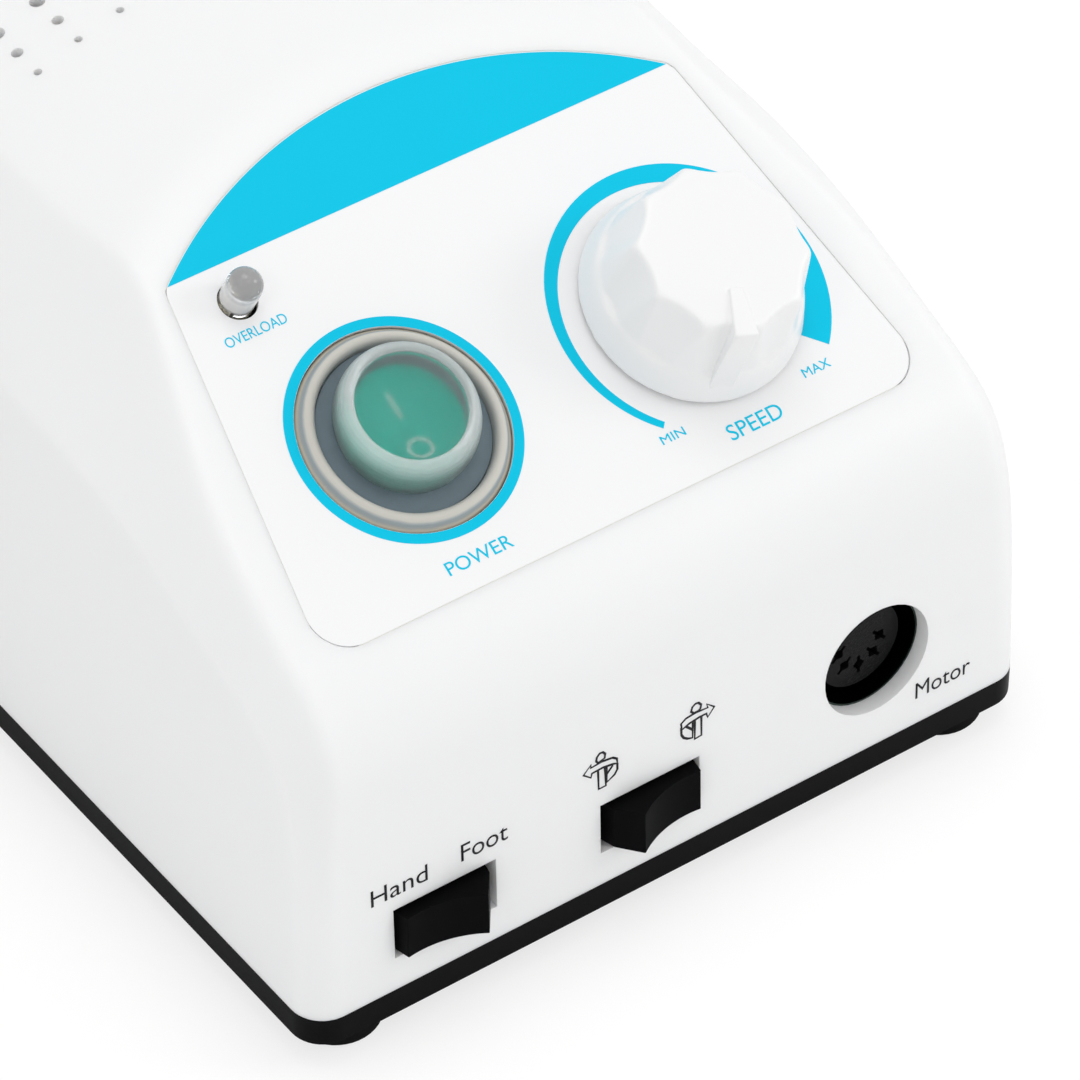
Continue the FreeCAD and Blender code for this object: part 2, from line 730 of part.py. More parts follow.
def top_cover():
    """White cover: 2.5 mm wall, controls' holes, screw posts and seats moulded on the inside."""
    outer = soften("case_cornered", case_form("case", "0", "0"), lambda edge: corner_of_case(edge))
    banded = cut("case_banded", outer, *band_cutter("case_band", 0.0))
    banded.Refine = True
    doc.recompute()
    rims = [line for face in banded.Shape.Faces
            if face.Area > 0.05 * value("case_length") * value("case_height")
            and "Plane" not in face.Surface.TypeId
            and abs(face.CenterOfMass.x) > value("case_width") / 3
            for line in face.Edges if middle(line).y < value("case_length") * 0.46]
    rounded = soften("case_rounded", banded,
                     lambda edge: value("band_rounding")
                     if any(edge.isSame(line) for line in rims) else 0)
    hollow = cut("hollow_banded", case_form("hollow", "wall_thickness", "-base_height"),
                 *band_cutter("hollow_band", value("wall_thickness")))
    posts = []
    for number, (side, depth) in enumerate(screw_places()):
        posts.append(rod(f"cover_post_{number}", "post_radius", "case_height",
                         spot(f"{side} * {POST_X}", depth, SEAM)))
    posts.append(rod("power_seat", "power_seat_radius", "power_seat_depth",
                     PANEL, spot(POWER_X, "power_up", "-power_seat_depth")))
    for number, (across, rise) in enumerate(switch_post_places()):
        posts.append(rod(f"switch_post_{number}", "switch_post_radius", "wall_thickness + switch_depth",
                         FRONT_FACE, spot(across, rise, "-(wall_thickness + switch_depth)")))
    for side in (-1, 1):
        posts.append(rod(f"socket_post_{side + 1}", "socket_post_radius", "socket_post_depth", FRONT_FACE,
                         spot(f"{SOCKET_X} + {side} * socket_screw_spacing / 2", "socket_rise",
                              "-socket_post_depth")))
    shell = cut("cover_shell", rounded, cut("cover_hollow", hollow, *posts))
    through = "3 * wall_thickness"
    holes = [
        rod("power_hole", "power_barrel + power_hole_gap", "2 * power_seat_depth",
            PANEL, spot(POWER_X, "power_up", "-1.5 * power_seat_depth")),
        rod("power_recess", "power_ring", "power_recess + 1",
            PANEL, spot(POWER_X, "power_up", "-power_recess")),
        rod("light_hole", "light_hole", through, PANEL, spot(LIGHT_X, "light_up", f"-({through}) / 2")),
        rod("light_seat", "light_flange + light_shift + hole_gap", through, PANEL,
            spot(LIGHT_X, "light_up", f"{LIGHT_SHOULDER} - {through}")),
        rod("pot_hole", "pot_hole", through, PANEL, spot(SPEED_X, "speed_up", f"-({through}) / 2")),
        rod("socket_hole", "socket_hole", through,
            FRONT_FACE, spot(SOCKET_X, "socket_rise", "-1.5 * wall_thickness")),
        block("inlet_hole", "inlet_width + inlet_hole_gap", "inlet_height + inlet_hole_gap", through,
              REAR_FACE, spot(INLET_X, "rear_rise", f"-({through}) / 2")),
        rod("fuse_hole", "fuse_barrel + hole_gap", through,
            REAR_FACE, spot(FUSE_X, "rear_rise", f"-({through}) / 2")),
        rod("jack_hole", "jack_bushing + hole_gap", through,
            REAR_FACE, spot(JACK_X, "rear_rise", f"-({through}) / 2")),
    ]
    for side in (-1, 1):
        holes.append(rod(f"inlet_screw_hole_{side + 1}", "screw_radius + hole_gap", through, REAR_FACE,
                         spot(f"{INLET_X} + {side} * inlet_screw_spacing / 2", "rear_rise",
                              f"-({through}) / 2")))
        holes.append(rod(f"socket_pilot_{side + 1}", "small_screw_radius + screw_fit",
                         "socket_post_depth",
                         FRONT_FACE,
                         spot(f"{SOCKET_X} + {side} * socket_screw_spacing / 2", "socket_rise",
                              "-socket_post_depth - wall_thickness / 2")))
    for name, across in (("hand_foot", HAND_FOOT_X), ("direction", DIRECTION_X)):
        holes.append(block(f"{name}_window", "window_width", "window_height", through,
                           FRONT_FACE, spot(across, "switch_rise", f"-({through}) / 2")))
    for number, (across, rise) in enumerate(switch_post_places()):
        holes.append(rod(f"switch_pilot_{number}", "small_screw_radius + screw_fit", "small_screw_length",
                         FRONT_FACE, spot(across, rise, "-(wall_thickness + switch_depth) - 0.1")))
    for number, (side, depth) in enumerate(screw_places()):
        holes.append(rod(f"cover_pilot_{number}", "screw_radius + screw_fit",
                         "screw_length + pilot_spare",
                         spot(f"{side} * {POST_X}", depth, "foot_height + head_sink")))
    holes.append(place_on(label_form("label_recess", "label_gap", "label_depth + 1"),
                          PANEL, spot(0, 0, "-label_depth")))
    drilled = cut("cover_drilled", shell, *holes)
    keep(cut("top_cover", drilled, vents()))


def corner_of_case(edge):
    centre = middle(edge)
    block_shape = doc.getObject("case_block").Shape.BoundBox
    beside = abs(abs(centre.x) - value("case_width") / 2) < 3
    at_end = min(abs(centre.y - block_shape.YMin), abs(centre.y - block_shape.YMax)) < 4
    return value("corner_radius") if beside and at_end and upright(edge) else 0


def place_on(item, *where):
    place(item, *where)
    return item


def switch_post_places():
    """One above the other, midway between the two front switches."""
    across = f"({HAND_FOOT_X} + {DIRECTION_X}) / 2"
    return [(across, f"switch_rise + {side} * switch_post_spacing / 2") for side in (-1, 1)]


def screw_places():
    front, rear = f"({FRONT} + post_front)", f"({REAR} - post_rear)"
    return (-1, front), (1, front), (-1, rear), (1, rear)


def vents():
    """Rows of round vents, small at their front edge, which bows away from the panel."""
    low = "foot_height + case_height - 5 * wall_thickness"
    rods = []
    for column in range(int(value("vent_columns"))):
        across = f"({column} - (vent_columns - 1) / 2) * vent_spacing"
        front = f"{FRONT} + vent_start - ({across})^2 / (2 * vent_bow)"
        for row in range(int(value("vent_rows"))):
            radius = f"vent_small + (vent_radius - vent_small) * {min(3, row)} / 3"
            rods.append(rod(f"vent_{column}_{row}", radius, "6 * wall_thickness",
                            spot(across, f"{front} + {row} * vent_pitch", low)))
    return group("vent_field", *rods)


def base_plate():
    """Black base: floor, rim, tongue inside the cover, posts for the board and pads for the screws."""
    outside = rounded_box("base_outside", "case_width", "case_length", "base_height",
                          value("corner_radius"), spot(0, CASE_MIDDLE, "foot_height"))
    tongue_in = "(wall_thickness + tongue_gap)"
    inner_radius = max(0.5, value("corner_radius") - value("wall_thickness") - value("tongue_gap"))
    tongue = rounded_box("base_tongue", f"case_width - 2 * {tongue_in}", f"case_length - 2 * {tongue_in}",
                         "base_height - floor_thickness + tongue_height", inner_radius,
                         spot(0, CASE_MIDDLE, FLOOR))
    hollow_in = "(wall_thickness + tongue_gap + tongue_width)"
    hollow = block("base_hollow", f"case_width - 2 * {hollow_in}", f"case_length - 2 * {hollow_in}",
                   "base_height + tongue_height", spot(0, CASE_MIDDLE, FLOOR))
    tray = cut("base_tray", join("base_blank", outside, tongue), hollow)
    stands = []
    holes = []
    for number, (side, depth) in enumerate(screw_places()):
        across = f"{side} * {POST_X}"
        stands.append(rod(f"base_pad_{number}", "post_radius", "base_height - floor_thickness",
                          spot(across, depth, FLOOR)))
        holes.append(rod(f"base_screw_hole_{number}", "screw_radius + hole_gap", "2 * base_height",
                         spot(across, depth, "foot_height - 1")))
        holes.append(rod(f"base_screw_sink_{number}", "screw_head_radius + 2 * hole_gap", "head_sink + 1",
                         spot(across, depth, "foot_height - 1")))
    for number, (across, depth) in enumerate(board_screw_places()):
        stands.append(rod(f"board_post_{number}", "board_post_radius", "board_lift",
                          spot(across, depth, FLOOR)))
        holes.append(rod(f"board_pilot_{number}", "small_screw_radius + screw_fit", "board_lift",
                         spot(across, depth, f"{FLOOR} + 0.1")))
    for side in (-1, 1):
        across = f"{side} * {FRAME_SCREW_X}"
        stands.append(rod(f"frame_post_{side + 1}", "board_post_radius", "core_lift",
                          spot(across, CORE_MIDDLE, FLOOR)))
        holes.append(rod(f"frame_pilot_{side + 1}", "screw_radius + screw_fit",
                         "core_lift + floor_thickness / 2",
                         spot(across, CORE_MIDDLE, f"{FLOOR} - floor_thickness / 2")))
        stands.append(block(f"core_rib_{side + 1}", "core_width * 0.8", "core_rib_width", "core_lift",
                            spot(0, f"{CORE_MIDDLE} + {side} * core_thickness / 4", FLOOR)))
    keep(cut("base_plate", join("base_blocked", tray, *stands), *holes))


BOARD_REAR = f"({FRONT} + board_front + board_length)"
CORE_MIDDLE = f"({BOARD_REAR} + core_gap + bobbin_overhang + core_thickness / 2)"
BLADE_END = "(-power_recess - power_barrel_length - blade_length)"


def board_screw_places():
    front = f"({FRONT} + board_front + board_post_inset)"
    rear = f"({FRONT} + board_front + board_length - board_post_inset)"
    reach = f"({BOARD_WIDTH} / 2 - board_post_inset)"
    return (f"-{reach}", front), (reach, front), (f"-{reach}", rear), (reach, rear)


def feet_and_cover_screws():
    """Four black rubber feet, and the four screws that go up through the base into the cover."""
    feet = []
    front, rear = f"({FRONT} + foot_inset_y)", f"({REAR} - foot_inset_y)"
    for number, (side, depth) in enumerate(((-1, front), (1, front), (-1, rear), (1, rear))):
        plain = rod(f"foot_{number}_plain", "foot_radius", "foot_height")
        foot = soften(f"foot_{number}", plain,
                      lambda edge: value("foot_rounding") if edge.BoundBox.ZMax < 0.1 else 0)
        place(foot, spot(f"{side} * (case_width / 2 - foot_inset_x)", depth))
        feet.append(foot)
    keep(group("rubber_feet", *feet))
    screws = []
    for number, (side, depth) in enumerate(screw_places()):
        screws.append(pan_screw(f"cover_screw_{number}", "screw_radius", "screw_length",
                                "screw_head_radius", "screw_head_height",
                                spot(f"{side} * {POST_X}", depth, "foot_height + head_sink",
                                     (1, 0, 0), 180)))
    keep(group("cover_screws", *screws))


def control_label():
    """Printed plastic sheet in the panel's recess, with holes for the three controls."""
    sheet = label_form("label_sheet", "0", "label_thickness")
    holes = [
        rod("label_power_hole", "power_ring", "4 * label_thickness",
            spot(POWER_X, "power_up", "-label_thickness")),
        rod("label_light_hole", "light_hole", "4 * label_thickness",
            spot(LIGHT_X, "light_up", "-label_thickness")),
        rod("label_speed_hole", "pot_washer_radius + 2 * label_gap", "4 * label_thickness",
            spot(SPEED_X, "speed_up", "-label_thickness")),
    ]
    keep(place_on(cut("control_label", sheet, *holes), PANEL, spot(0, 0, "-label_depth")))


def overload_light():
    """Clear 5 mm light, its flange held against the panel's shoulder by a ring from below."""
    where = (PANEL, spot(LIGHT_X, "light_up + light_shift"))
    tip = doc.addObject("Part::Sphere", "light_dome")
    bind(tip, Radius="light_radius")
    place(tip, spot(0, 0, "light_proud - light_radius"))
    stem_low = "(light_proud - light_length)"
    stem = rod("light_stem", "light_radius", "light_length - light_radius", spot(0, 0, stem_low))
    flange = rod("light_flange_disc", "light_flange", "light_flange_height", spot(0, 0, stem_low))
    keep(place_on(join("overload_light", tip, stem, flange), *where))
    leads = []
    for side in (-1, 1):
        leads.append(rod(f"light_lead_{side + 1}", "light_lead", "light_lead_length",
                         spot(f"{side} * light_lead_gap", 0, f"{stem_low} - light_lead_length")))
    keep(place_on(group("overload_light_leads", *leads), *where))
    ring_low = "(-wall_thickness - light_clip_depth)"
    ring = rod("light_clip_ring", "light_clip_radius", "light_clip_depth", spot(0, 0, ring_low))
    nose = rod("light_clip_nose", "light_flange", f"{stem_low} - {ring_low}", spot(0, 0, ring_low))
    bore = rod("light_clip_hole", "light_clip_bore", "2 * light_clip_depth", spot(0, 0, ring_low))
    keep(place_on(cut("overload_light_clip", join("light_clip_blank", ring, nose), bore), *where))


def power_switch():
    """Round rocker switch under a clear silicone boot with a thick outer bead."""
    where = (PANEL, spot(POWER_X, "power_up"))
    flange_low = "(-power_recess)"
    flange = rod("power_flange_disc", "power_flange", "power_flange_height", spot(0, 0, flange_low))
    barrel = rod("power_barrel_rod", "power_barrel", "power_barrel_length",
                 spot(0, 0, f"{flange_low} - power_barrel_length"))
    well = rod("power_well_rod", "power_well", "power_well_depth",
               spot(0, 0, f"{flange_low} + power_flange_height - power_well_depth"))
    pin_reach = "(power_rocker_radius + power_pin_length)"
    sockets = rod("power_pin_sockets", "power_pin_radius + pin_fit", f"2 * {pin_reach} + 0.2",
                  spot(f"-{pin_reach} - 0.1", 0, "-power_pivot_depth", (0, 1, 0), 90))
    blades = []
    blade_top = f"({flange_low} - power_barrel_length)"
    for side in (-1, 0, 1):
        blades.append(block(f"power_blade_{side + 1}", "blade_width",
                            "blade_thickness", "blade_length + 3",
                            spot(0, f"{side} * blade_spacing", f"{blade_top} - blade_length")))
    terminals = group("power_switch_terminals", *blades)
    body = cut("power_switch_body", join("power_body_blank", flange, barrel), well, sockets, *blades)
    keep(place_on(body, *where), place_on(terminals, *where))

    nut = cut("power_switch_nut",
              rod("power_nut_disc", "power_nut_radius", "power_nut_height"),
              rod("power_nut_bore", "power_barrel + hole_gap", "power_nut_height"))
    keep(place_on(nut, *where, spot(0, 0, "-power_seat_depth - power_nut_height")))

    puck = rod("power_rocker_puck", "power_rocker_radius", "power_rocker_rise + power_rocker_skirt + 3",
               spot(0, 0, "-power_rocker_skirt"))
    pins = rod("power_rocker_pins", "power_pin_radius", f"2 * {pin_reach}",
               spot(f"-{pin_reach}", 0, 0, (0, 1, 0), 90))
    trims = []
    for turn in (0, 180):
        trims.append(block(f"power_rocker_trim_{turn}",
                           "4 * power_rocker_radius", "4 * power_rocker_radius", 12,
                           spot(0, 0, "power_rocker_rise", (0, 0, 1), turn),
                           spot(0, 0, 0, (1, 0, 0), "power_tilt"), spot(0, "2 * power_rocker_radius")))
    rocker = join("power_switch_rocker", cut("power_rocker_cut", puck, *trims), pins)
    keep(place_on(rocker, *where, spot(0, 0, "-power_pivot_depth", (1, 0, 0), "-power_tilt")))

    seat = f"({flange_low} + power_flange_height)"
    bead = "(power_bead_radius - power_flange - 0.1)"
    boot = turned("power_switch_boot", (
        ("power_flange + 0.1", flange_low),
        ("power_bead_radius - 0.3", flange_low),
        ("power_bead_radius", f"{flange_low} + 0.3"),
        ("power_bead_radius", f"{flange_low} + {bead} * 0.45"),
        (f"power_bead_radius - {bead} * 0.14", f"{flange_low} + {bead} * 0.68"),
        (f"power_bead_radius - {bead} * 0.38", f"{flange_low} + {bead} * 0.8"),
        (f"power_bead_radius - {bead} * 0.62", f"{flange_low} + {bead} * 0.8"),
        (f"power_bead_radius - {bead} * 0.86", f"{flange_low} + {bead} * 0.68"),
        ("power_flange", f"{seat} + boot_wall * 0.8"),
        ("boot_radius + 0.3", f"{seat} + boot_wall * 0.8"),
        ("boot_radius", f"{seat} + boot_wall * 1.4"),
        ("boot_radius", "boot_height * 0.42"),
        ("(boot_radius + boot_top_radius) / 2 - 0.1", "boot_height * 0.78"),
        ("boot_top_radius", "boot_height * 0.95"),
        ("(boot_top_radius + boot_window) / 2", "boot_height"),
        ("boot_window", "boot_height - boot_sink * 0.4"),
        ("boot_window - 0.3", "boot_height - boot_sink"),
        ("0", "boot_height - boot_sink"),
        ("0", "boot_height - boot_sink - boot_wall"),
        ("boot_window", "boot_height - boot_sink - boot_wall"),
        ("boot_top_radius - boot_wall * 0.8", "boot_height * 0.6"),
        ("boot_radius - boot_wall", "boot_height * 0.3"),
        ("boot_radius - boot_wall", seat),
        ("power_flange + 0.1", seat),
    ))
    keep(place_on(boot, *where))


def speed_control():
    """Knob on a potentiometer that is nutted to the panel."""
    where = (PANEL, spot(SPEED_X, "speed_up"))
    low = "(label_thickness - label_depth + knob_gap)"
    top = f"({low} + knob_height)"
    drop = "(knob_radius - knob_top_radius)"
    under = f"({top} - 3)"
    blank = turned("knob_blank", (
        ("0", f"{top} + knob_dome"),
        ("0", "shaft_reach + 0.3"),
        ("shaft_radius + 0.02", "shaft_reach + 0.3"),
        ("shaft_radius + 0.02", "bushing_reach + 0.8"),
        ("knob_boss_radius", "bushing_reach + 0.8"),
        ("knob_boss_radius", under),
        ("knob_top_radius - knob_wall - 0.6", under),
        (f"knob_top_radius + {drop} * 0.12 - knob_wall", f"{low} + knob_height * 0.6"),
        (f"knob_top_radius + {drop} * 0.50 - knob_wall", f"{low} + knob_height * 0.3"),
        ("knob_radius - knob_wall", f"{low} + knob_lip"),
        ("knob_radius - knob_wall", low),
        ("knob_radius", low),
        ("knob_radius", f"{low} + knob_lip"),
        (f"knob_top_radius + {drop} * 0.70", f"{low} + knob_height * 0.28"),
        (f"knob_top_radius + {drop} * 0.40", f"{low} + knob_height * 0.55"),
        (f"knob_top_radius + {drop} * 0.16", f"{low} + knob_height * 0.82"),
        ("knob_top_radius", top),
        ("knob_top_radius * 0.6", f"{top} + knob_dome * 0.75"),
    ))
    flutes = []
    for number in range(int(value("flute_count"))):
        turn = spot(0, 0, f"{top} - knob_rounding",
                    angle=f"flute_start + {number} * 360 / flute_count")
        lean = spot("knob_top_radius + flute_radius - flute_depth", 0, 0, (0, 1, 0), "-flute_tilt")
        flutes.append(rod(f"knob_flute_{number}", "flute_radius", "2 * knob_height",
                          turn, lean, spot(0, 0, "-knob_height")))
    fluted = cut("knob_fluted", soften("knob_rounded", blank, rim_of_knob), *flutes)
    fin = extruded("pointer_plain", "XZ_Plane", (
        ("pointer_start", f"{top} - 2"),
        ("pointer_start", f"{top} + pointer_rise"),
        ("pointer_end", f"{top} + pointer_rise"),
        ("pointer_foot", f"{low} + pointer_foot_up"),
        ("pointer_foot - 0.9", f"{low} + pointer_foot_up"),
        ("knob_top_radius - 0.6", f"{top} - 2"),
    ), "pointer_outer_width + 1")
    taper = doc.addObject("Part::Wedge", "pointer_taper")
    bind(taper, Ymin="pointer_start", Ymax="pointer_foot", Zmin=low, Z2min=low,
         Zmax=f"{top} + pointer_rise", Z2max=f"{top} + pointer_rise",
         Xmin="-pointer_inner_width / 2", Xmax="pointer_inner_width / 2",
         X2min="-pointer_outer_width / 2", X2max="pointer_outer_width / 2")
    place(taper, spot(angle="-90"))
    pointer = soften("pointer_soft_fin", common("pointer_fin", fin, taper), edge_of_pointer)
    place(pointer, spot(angle="pointer_angle"))
    knob = join("speed_knob", fluted, pointer)
    keep(place_on(knob, *where))
    shaft = rod("potentiometer_shaft", "shaft_radius", "shaft_reach + shaft_depth + wall_thickness")
    keep(place_on(shaft, *where, spot(0, 0, "-wall_thickness - shaft_depth")))

    can = rod("pot_can", "pot_radius", "pot_depth", spot(0, 0, "-wall_thickness - pot_depth"))
    bushing = rod("pot_bushing", "bushing_radius", "wall_thickness + bushing_reach",
                  spot(0, 0, "-wall_thickness"))
    bore = rod("pot_bore", "shaft_radius + shaft_fit",
               "wall_thickness + shaft_depth + 0.2 + bushing_reach",
               spot(0, 0, "-wall_thickness - shaft_depth - 0.2"))
    tabs = []
    for side in (-1, 0, 1):
        tabs.append(block(f"pot_tab_{side + 1}", "pot_tab_width",
                          "pot_tab_length + 3", "pot_tab_thickness",
                          spot(f"{side} * 2 * pot_tab_width", "-pot_radius - pot_tab_length / 2 + 1",
                               "-wall_thickness - pot_depth / 2")))
    keep(place_on(cut("potentiometer_body", join("pot_blank", can, bushing, *tabs), bore), *where))
    washer = cut("potentiometer_washer", rod("pot_washer_disc", "pot_washer_radius", "pot_washer_height"),
                 rod("pot_washer_bore", "pot_hole", "pot_washer_height"))
    keep(place_on(washer, *where, spot(0, 0, "-label_depth")))
    nut = cut("potentiometer_nut", hexagon("pot_nut_hexagon", "pot_nut_flats", "pot_nut_height"),
              rod("pot_nut_bore", "bushing_radius + screw_fit", "pot_nut_height"))
    keep(place_on(nut, *where, spot(0, 0, "pot_washer_height - label_depth")))


def rim_of_knob(edge):
    box = edge.BoundBox
    at_rim = abs(box.XMax - value("knob_top_radius")) < 0.01 and box.ZLength < 0.01
    return value("knob_rounding") if at_rim else 0


def edge_of_pointer(edge):
    """Rounding of the edges that meet the pointer's flat top."""
    height = value("label_thickness") - value("label_depth") + value("knob_gap") + value("knob_height")
    return value("pointer_soft") if edge.BoundBox.ZMax > height + value("pointer_rise") - 0.01 else 0


def front_rocker(name, across, lean):
    """Rocker with a dished face, turned about upright pins inside its switch."""
    tip_height = "(rocker_proud + rocker_pivot)"
    shoulder = f"(rocker_tip + ({tip_height} - rocker_shoulder) * tan(rocker_flank * 1deg))"
    blank = extruded(f"{name}_blank", "XZ_Plane", (
        ("-rocker_tip", tip_height), (f"-{shoulder}", "rocker_shoulder"),
        (f"-{shoulder}", "-rocker_skirt"),
        (shoulder, "-rocker_skirt"), (shoulder, "rocker_shoulder"), ("rocker_tip", tip_height),
    ), "rocker_depth")
    eased = soften(f"{name}_eased", blank,
                   lambda edge: value("rocker_edge") if abs(edge.BoundBox.YLength) > 1
                   and middle(edge).z > value("rocker_shoulder") + 1 else 0)
    dish_radius = "((rocker_tip * rocker_tip + rocker_dish * rocker_dish) / 2 / rocker_dish)"
    dish = rod(f"{name}_dish", dish_radius, "2 * rocker_depth",
               spot(0, "rocker_depth", f"{tip_height} - rocker_dish + {dish_radius}", (1, 0, 0), 90))
    pin_reach = "(rocker_depth / 2 + rocker_pin_length)"
    pins = rod(f"{name}_pins", "rocker_pin_radius", f"2 * {pin_reach}",
               spot(0, pin_reach, 0, (1, 0, 0), 90))
    rocker = join(name, cut(f"{name}_dished", eased, dish), pins)
    keep(place_on(rocker, FRONT_FACE, spot(across, "switch_rise", "-rocker_pivot", (0, 1, 0), lean)))


def front_switch_body(name, across):
    """Switch case behind the front wall, open to the front for its rocker."""
    low = "(-wall_thickness - switch_depth)"
    case = block(f"{name}_case", "switch_width", "switch_height", "switch_depth", spot(0, 0, low))
    well = block(f"{name}_well", "switch_well_width", "rocker_depth + 2 * rocker_side_gap",
                 "switch_well_depth + 1",
                 spot(0, 0, "-wall_thickness - switch_well_depth"))
    pin_reach = "(rocker_depth / 2 + rocker_pin_length + 0.1)"
    sockets = rod(f"{name}_sockets", "rocker_pin_radius + pin_fit", f"2 * {pin_reach}",
                  spot(0, pin_reach, "-rocker_pivot", (1, 0, 0), 90))
    keep(place_on(cut(name, case, well, sockets), FRONT_FACE, spot(across, "switch_rise")))


def front_switches():
    """Hand or foot control, and direction: two rocker switches on one small board."""
    front_rocker("hand_foot_rocker", HAND_FOOT_X, "-rocker_tilt")
    front_rocker("direction_rocker", DIRECTION_X, "rocker_tilt")
    front_switch_body("hand_foot_switch_body", HAND_FOOT_X)
    front_switch_body("direction_switch_body", DIRECTION_X)
    back = "(wall_thickness + switch_depth)"
    pins = []
    pin_holes = []
    for label, across in (("hand_foot", HAND_FOOT_X), ("direction", DIRECTION_X)):
        for side in (-1, 0, 1):
            where = (FRONT_FACE, spot(f"{across} + {side} * switch_pin_spacing", "switch_rise",
                                      f"-{back} - switch_pin_length"))
            pins.append(rod(f"{label}_pin_{side + 1}", "switch_pin_radius", "switch_pin_length", *where))
            pin_holes.append(rod(f"{label}_pin_hole_{side + 1}", "switch_pin_radius + hole_gap",
                                 "switch_pin_length + 1", *where))
    keep(group("switch_pins", *pins))
    left = f"({HAND_FOOT_X} - switch_width / 2 - switch_board_margin)"
    right = f"({DIRECTION_X} + switch_width / 2 + switch_board_margin)"
    board = block("switch_board_plain", f"{right} - {left}", "switch_board_height",
                  "switch_board_thickness", FRONT_FACE,
                  spot(f"({right} + {left}) / 2", "switch_rise", f"-{back} - switch_board_thickness"))
    screws = []
    for number, (across, rise) in enumerate(switch_post_places()):
        pin_holes.append(rod(f"switch_board_hole_{number}", "small_screw_radius + hole_gap",
                             "3 * switch_board_thickness",
                             FRONT_FACE, spot(across, rise, f"-{back} - 2 * switch_board_thickness")))
        screws.append(pan_screw(f"switch_screw_{number}", "small_screw_radius", "small_screw_length",
                                "small_head_radius", "small_head_height",
                                FRONT_FACE, spot(across, rise, f"-{back} - switch_board_thickness",
                                                 (1, 0, 0), 180)))
    keep(cut("switch_board", board, *pin_holes), group("switch_board_screws", *screws))


def motor_socket():
    """Five-contact round socket, screwed to posts behind the front wall."""
    where = (FRONT_FACE, spot(SOCKET_X, "socket_rise"))
    mouth = "wall_thickness"
    back = f"({mouth} + socket_depth)"
    barrel = rod("socket_barrel_rod", "socket_barrel", "socket_depth", spot(0, 0, f"-{back}"))
    flange = block("socket_flange_plate", "socket_flange_width", "socket_flange_height",
                   "socket_flange_thickness", spot(0, 0, "-socket_post_depth - socket_flange_thickness"))
    bore = rod("socket_bore_rod", "socket_bore", "socket_depth - socket_back + 1",
               spot(0, 0, f"-{back} + socket_back"))
    insert_low = f"(-{back} + socket_back)"
    insert = rod("socket_insert_rod", "socket_insert", f"-socket_insert_depth - {insert_low}",
                 spot(0, 0, insert_low))
    contacts = []
    slots = []
    holes = []
    seat = "(-socket_insert_depth - contact_slot_depth)"
    for number, lean in enumerate((-45, 0, 0, 0, 45)):
        turn = spot(angle=f"{-45 * number}")
        contacts.append(rod(f"contact_{number}", "contact_radius",
                            f"{seat} + {back} + contact_tail", turn,
                            spot("contact_circle", 0, f"-{back} - contact_tail")))
        holes.append(rod(f"contact_hole_{number}", "contact_radius + screw_fit", back, turn,
                         spot("contact_circle", 0, f"-{back} - 1")))
        for length, angle in (("contact_slot", lean), ("contact_cross", lean + 90)):
            slots.append(block(f"{length}_{number}", length, "contact_slot_width",
                               "contact_slot_depth + 1",
                               turn, spot("contact_circle", 0, seat, angle=angle)))
    screw_holes = []
    screws = []
    for side in (-1, 1):
        across = f"{side} * socket_screw_spacing / 2"
        screw_holes.append(rod(f"socket_screw_hole_{side + 1}", "small_screw_radius + hole_gap",
                               "socket_depth",
                               spot(across, 0, f"-{back}")))
        screws.append(pan_screw(f"socket_screw_{side + 1}", "small_screw_radius",
                                "small_screw_length - 1",
                                "small_head_radius", "small_head_height",
                                spot(across, 0, "-socket_post_depth - socket_flange_thickness",
                                     (1, 0, 0), 180)))
    shell = cut("motor_socket_shell", join("socket_blank", barrel, flange), bore, *screw_holes,
                rod("socket_contact_relief", "contact_circle + 2 * contact_radius", "2 * socket_back",
                    spot(0, 0, f"-{back} - 1")))
    keep(place_on(shell, *where))
    keep(place_on(cut("motor_socket_insert", insert, *holes, *slots), *where))
    keep(place_on(group("motor_socket_contacts", *contacts), *where))
    keep(place_on(group("motor_socket_screws", *screws), *where))


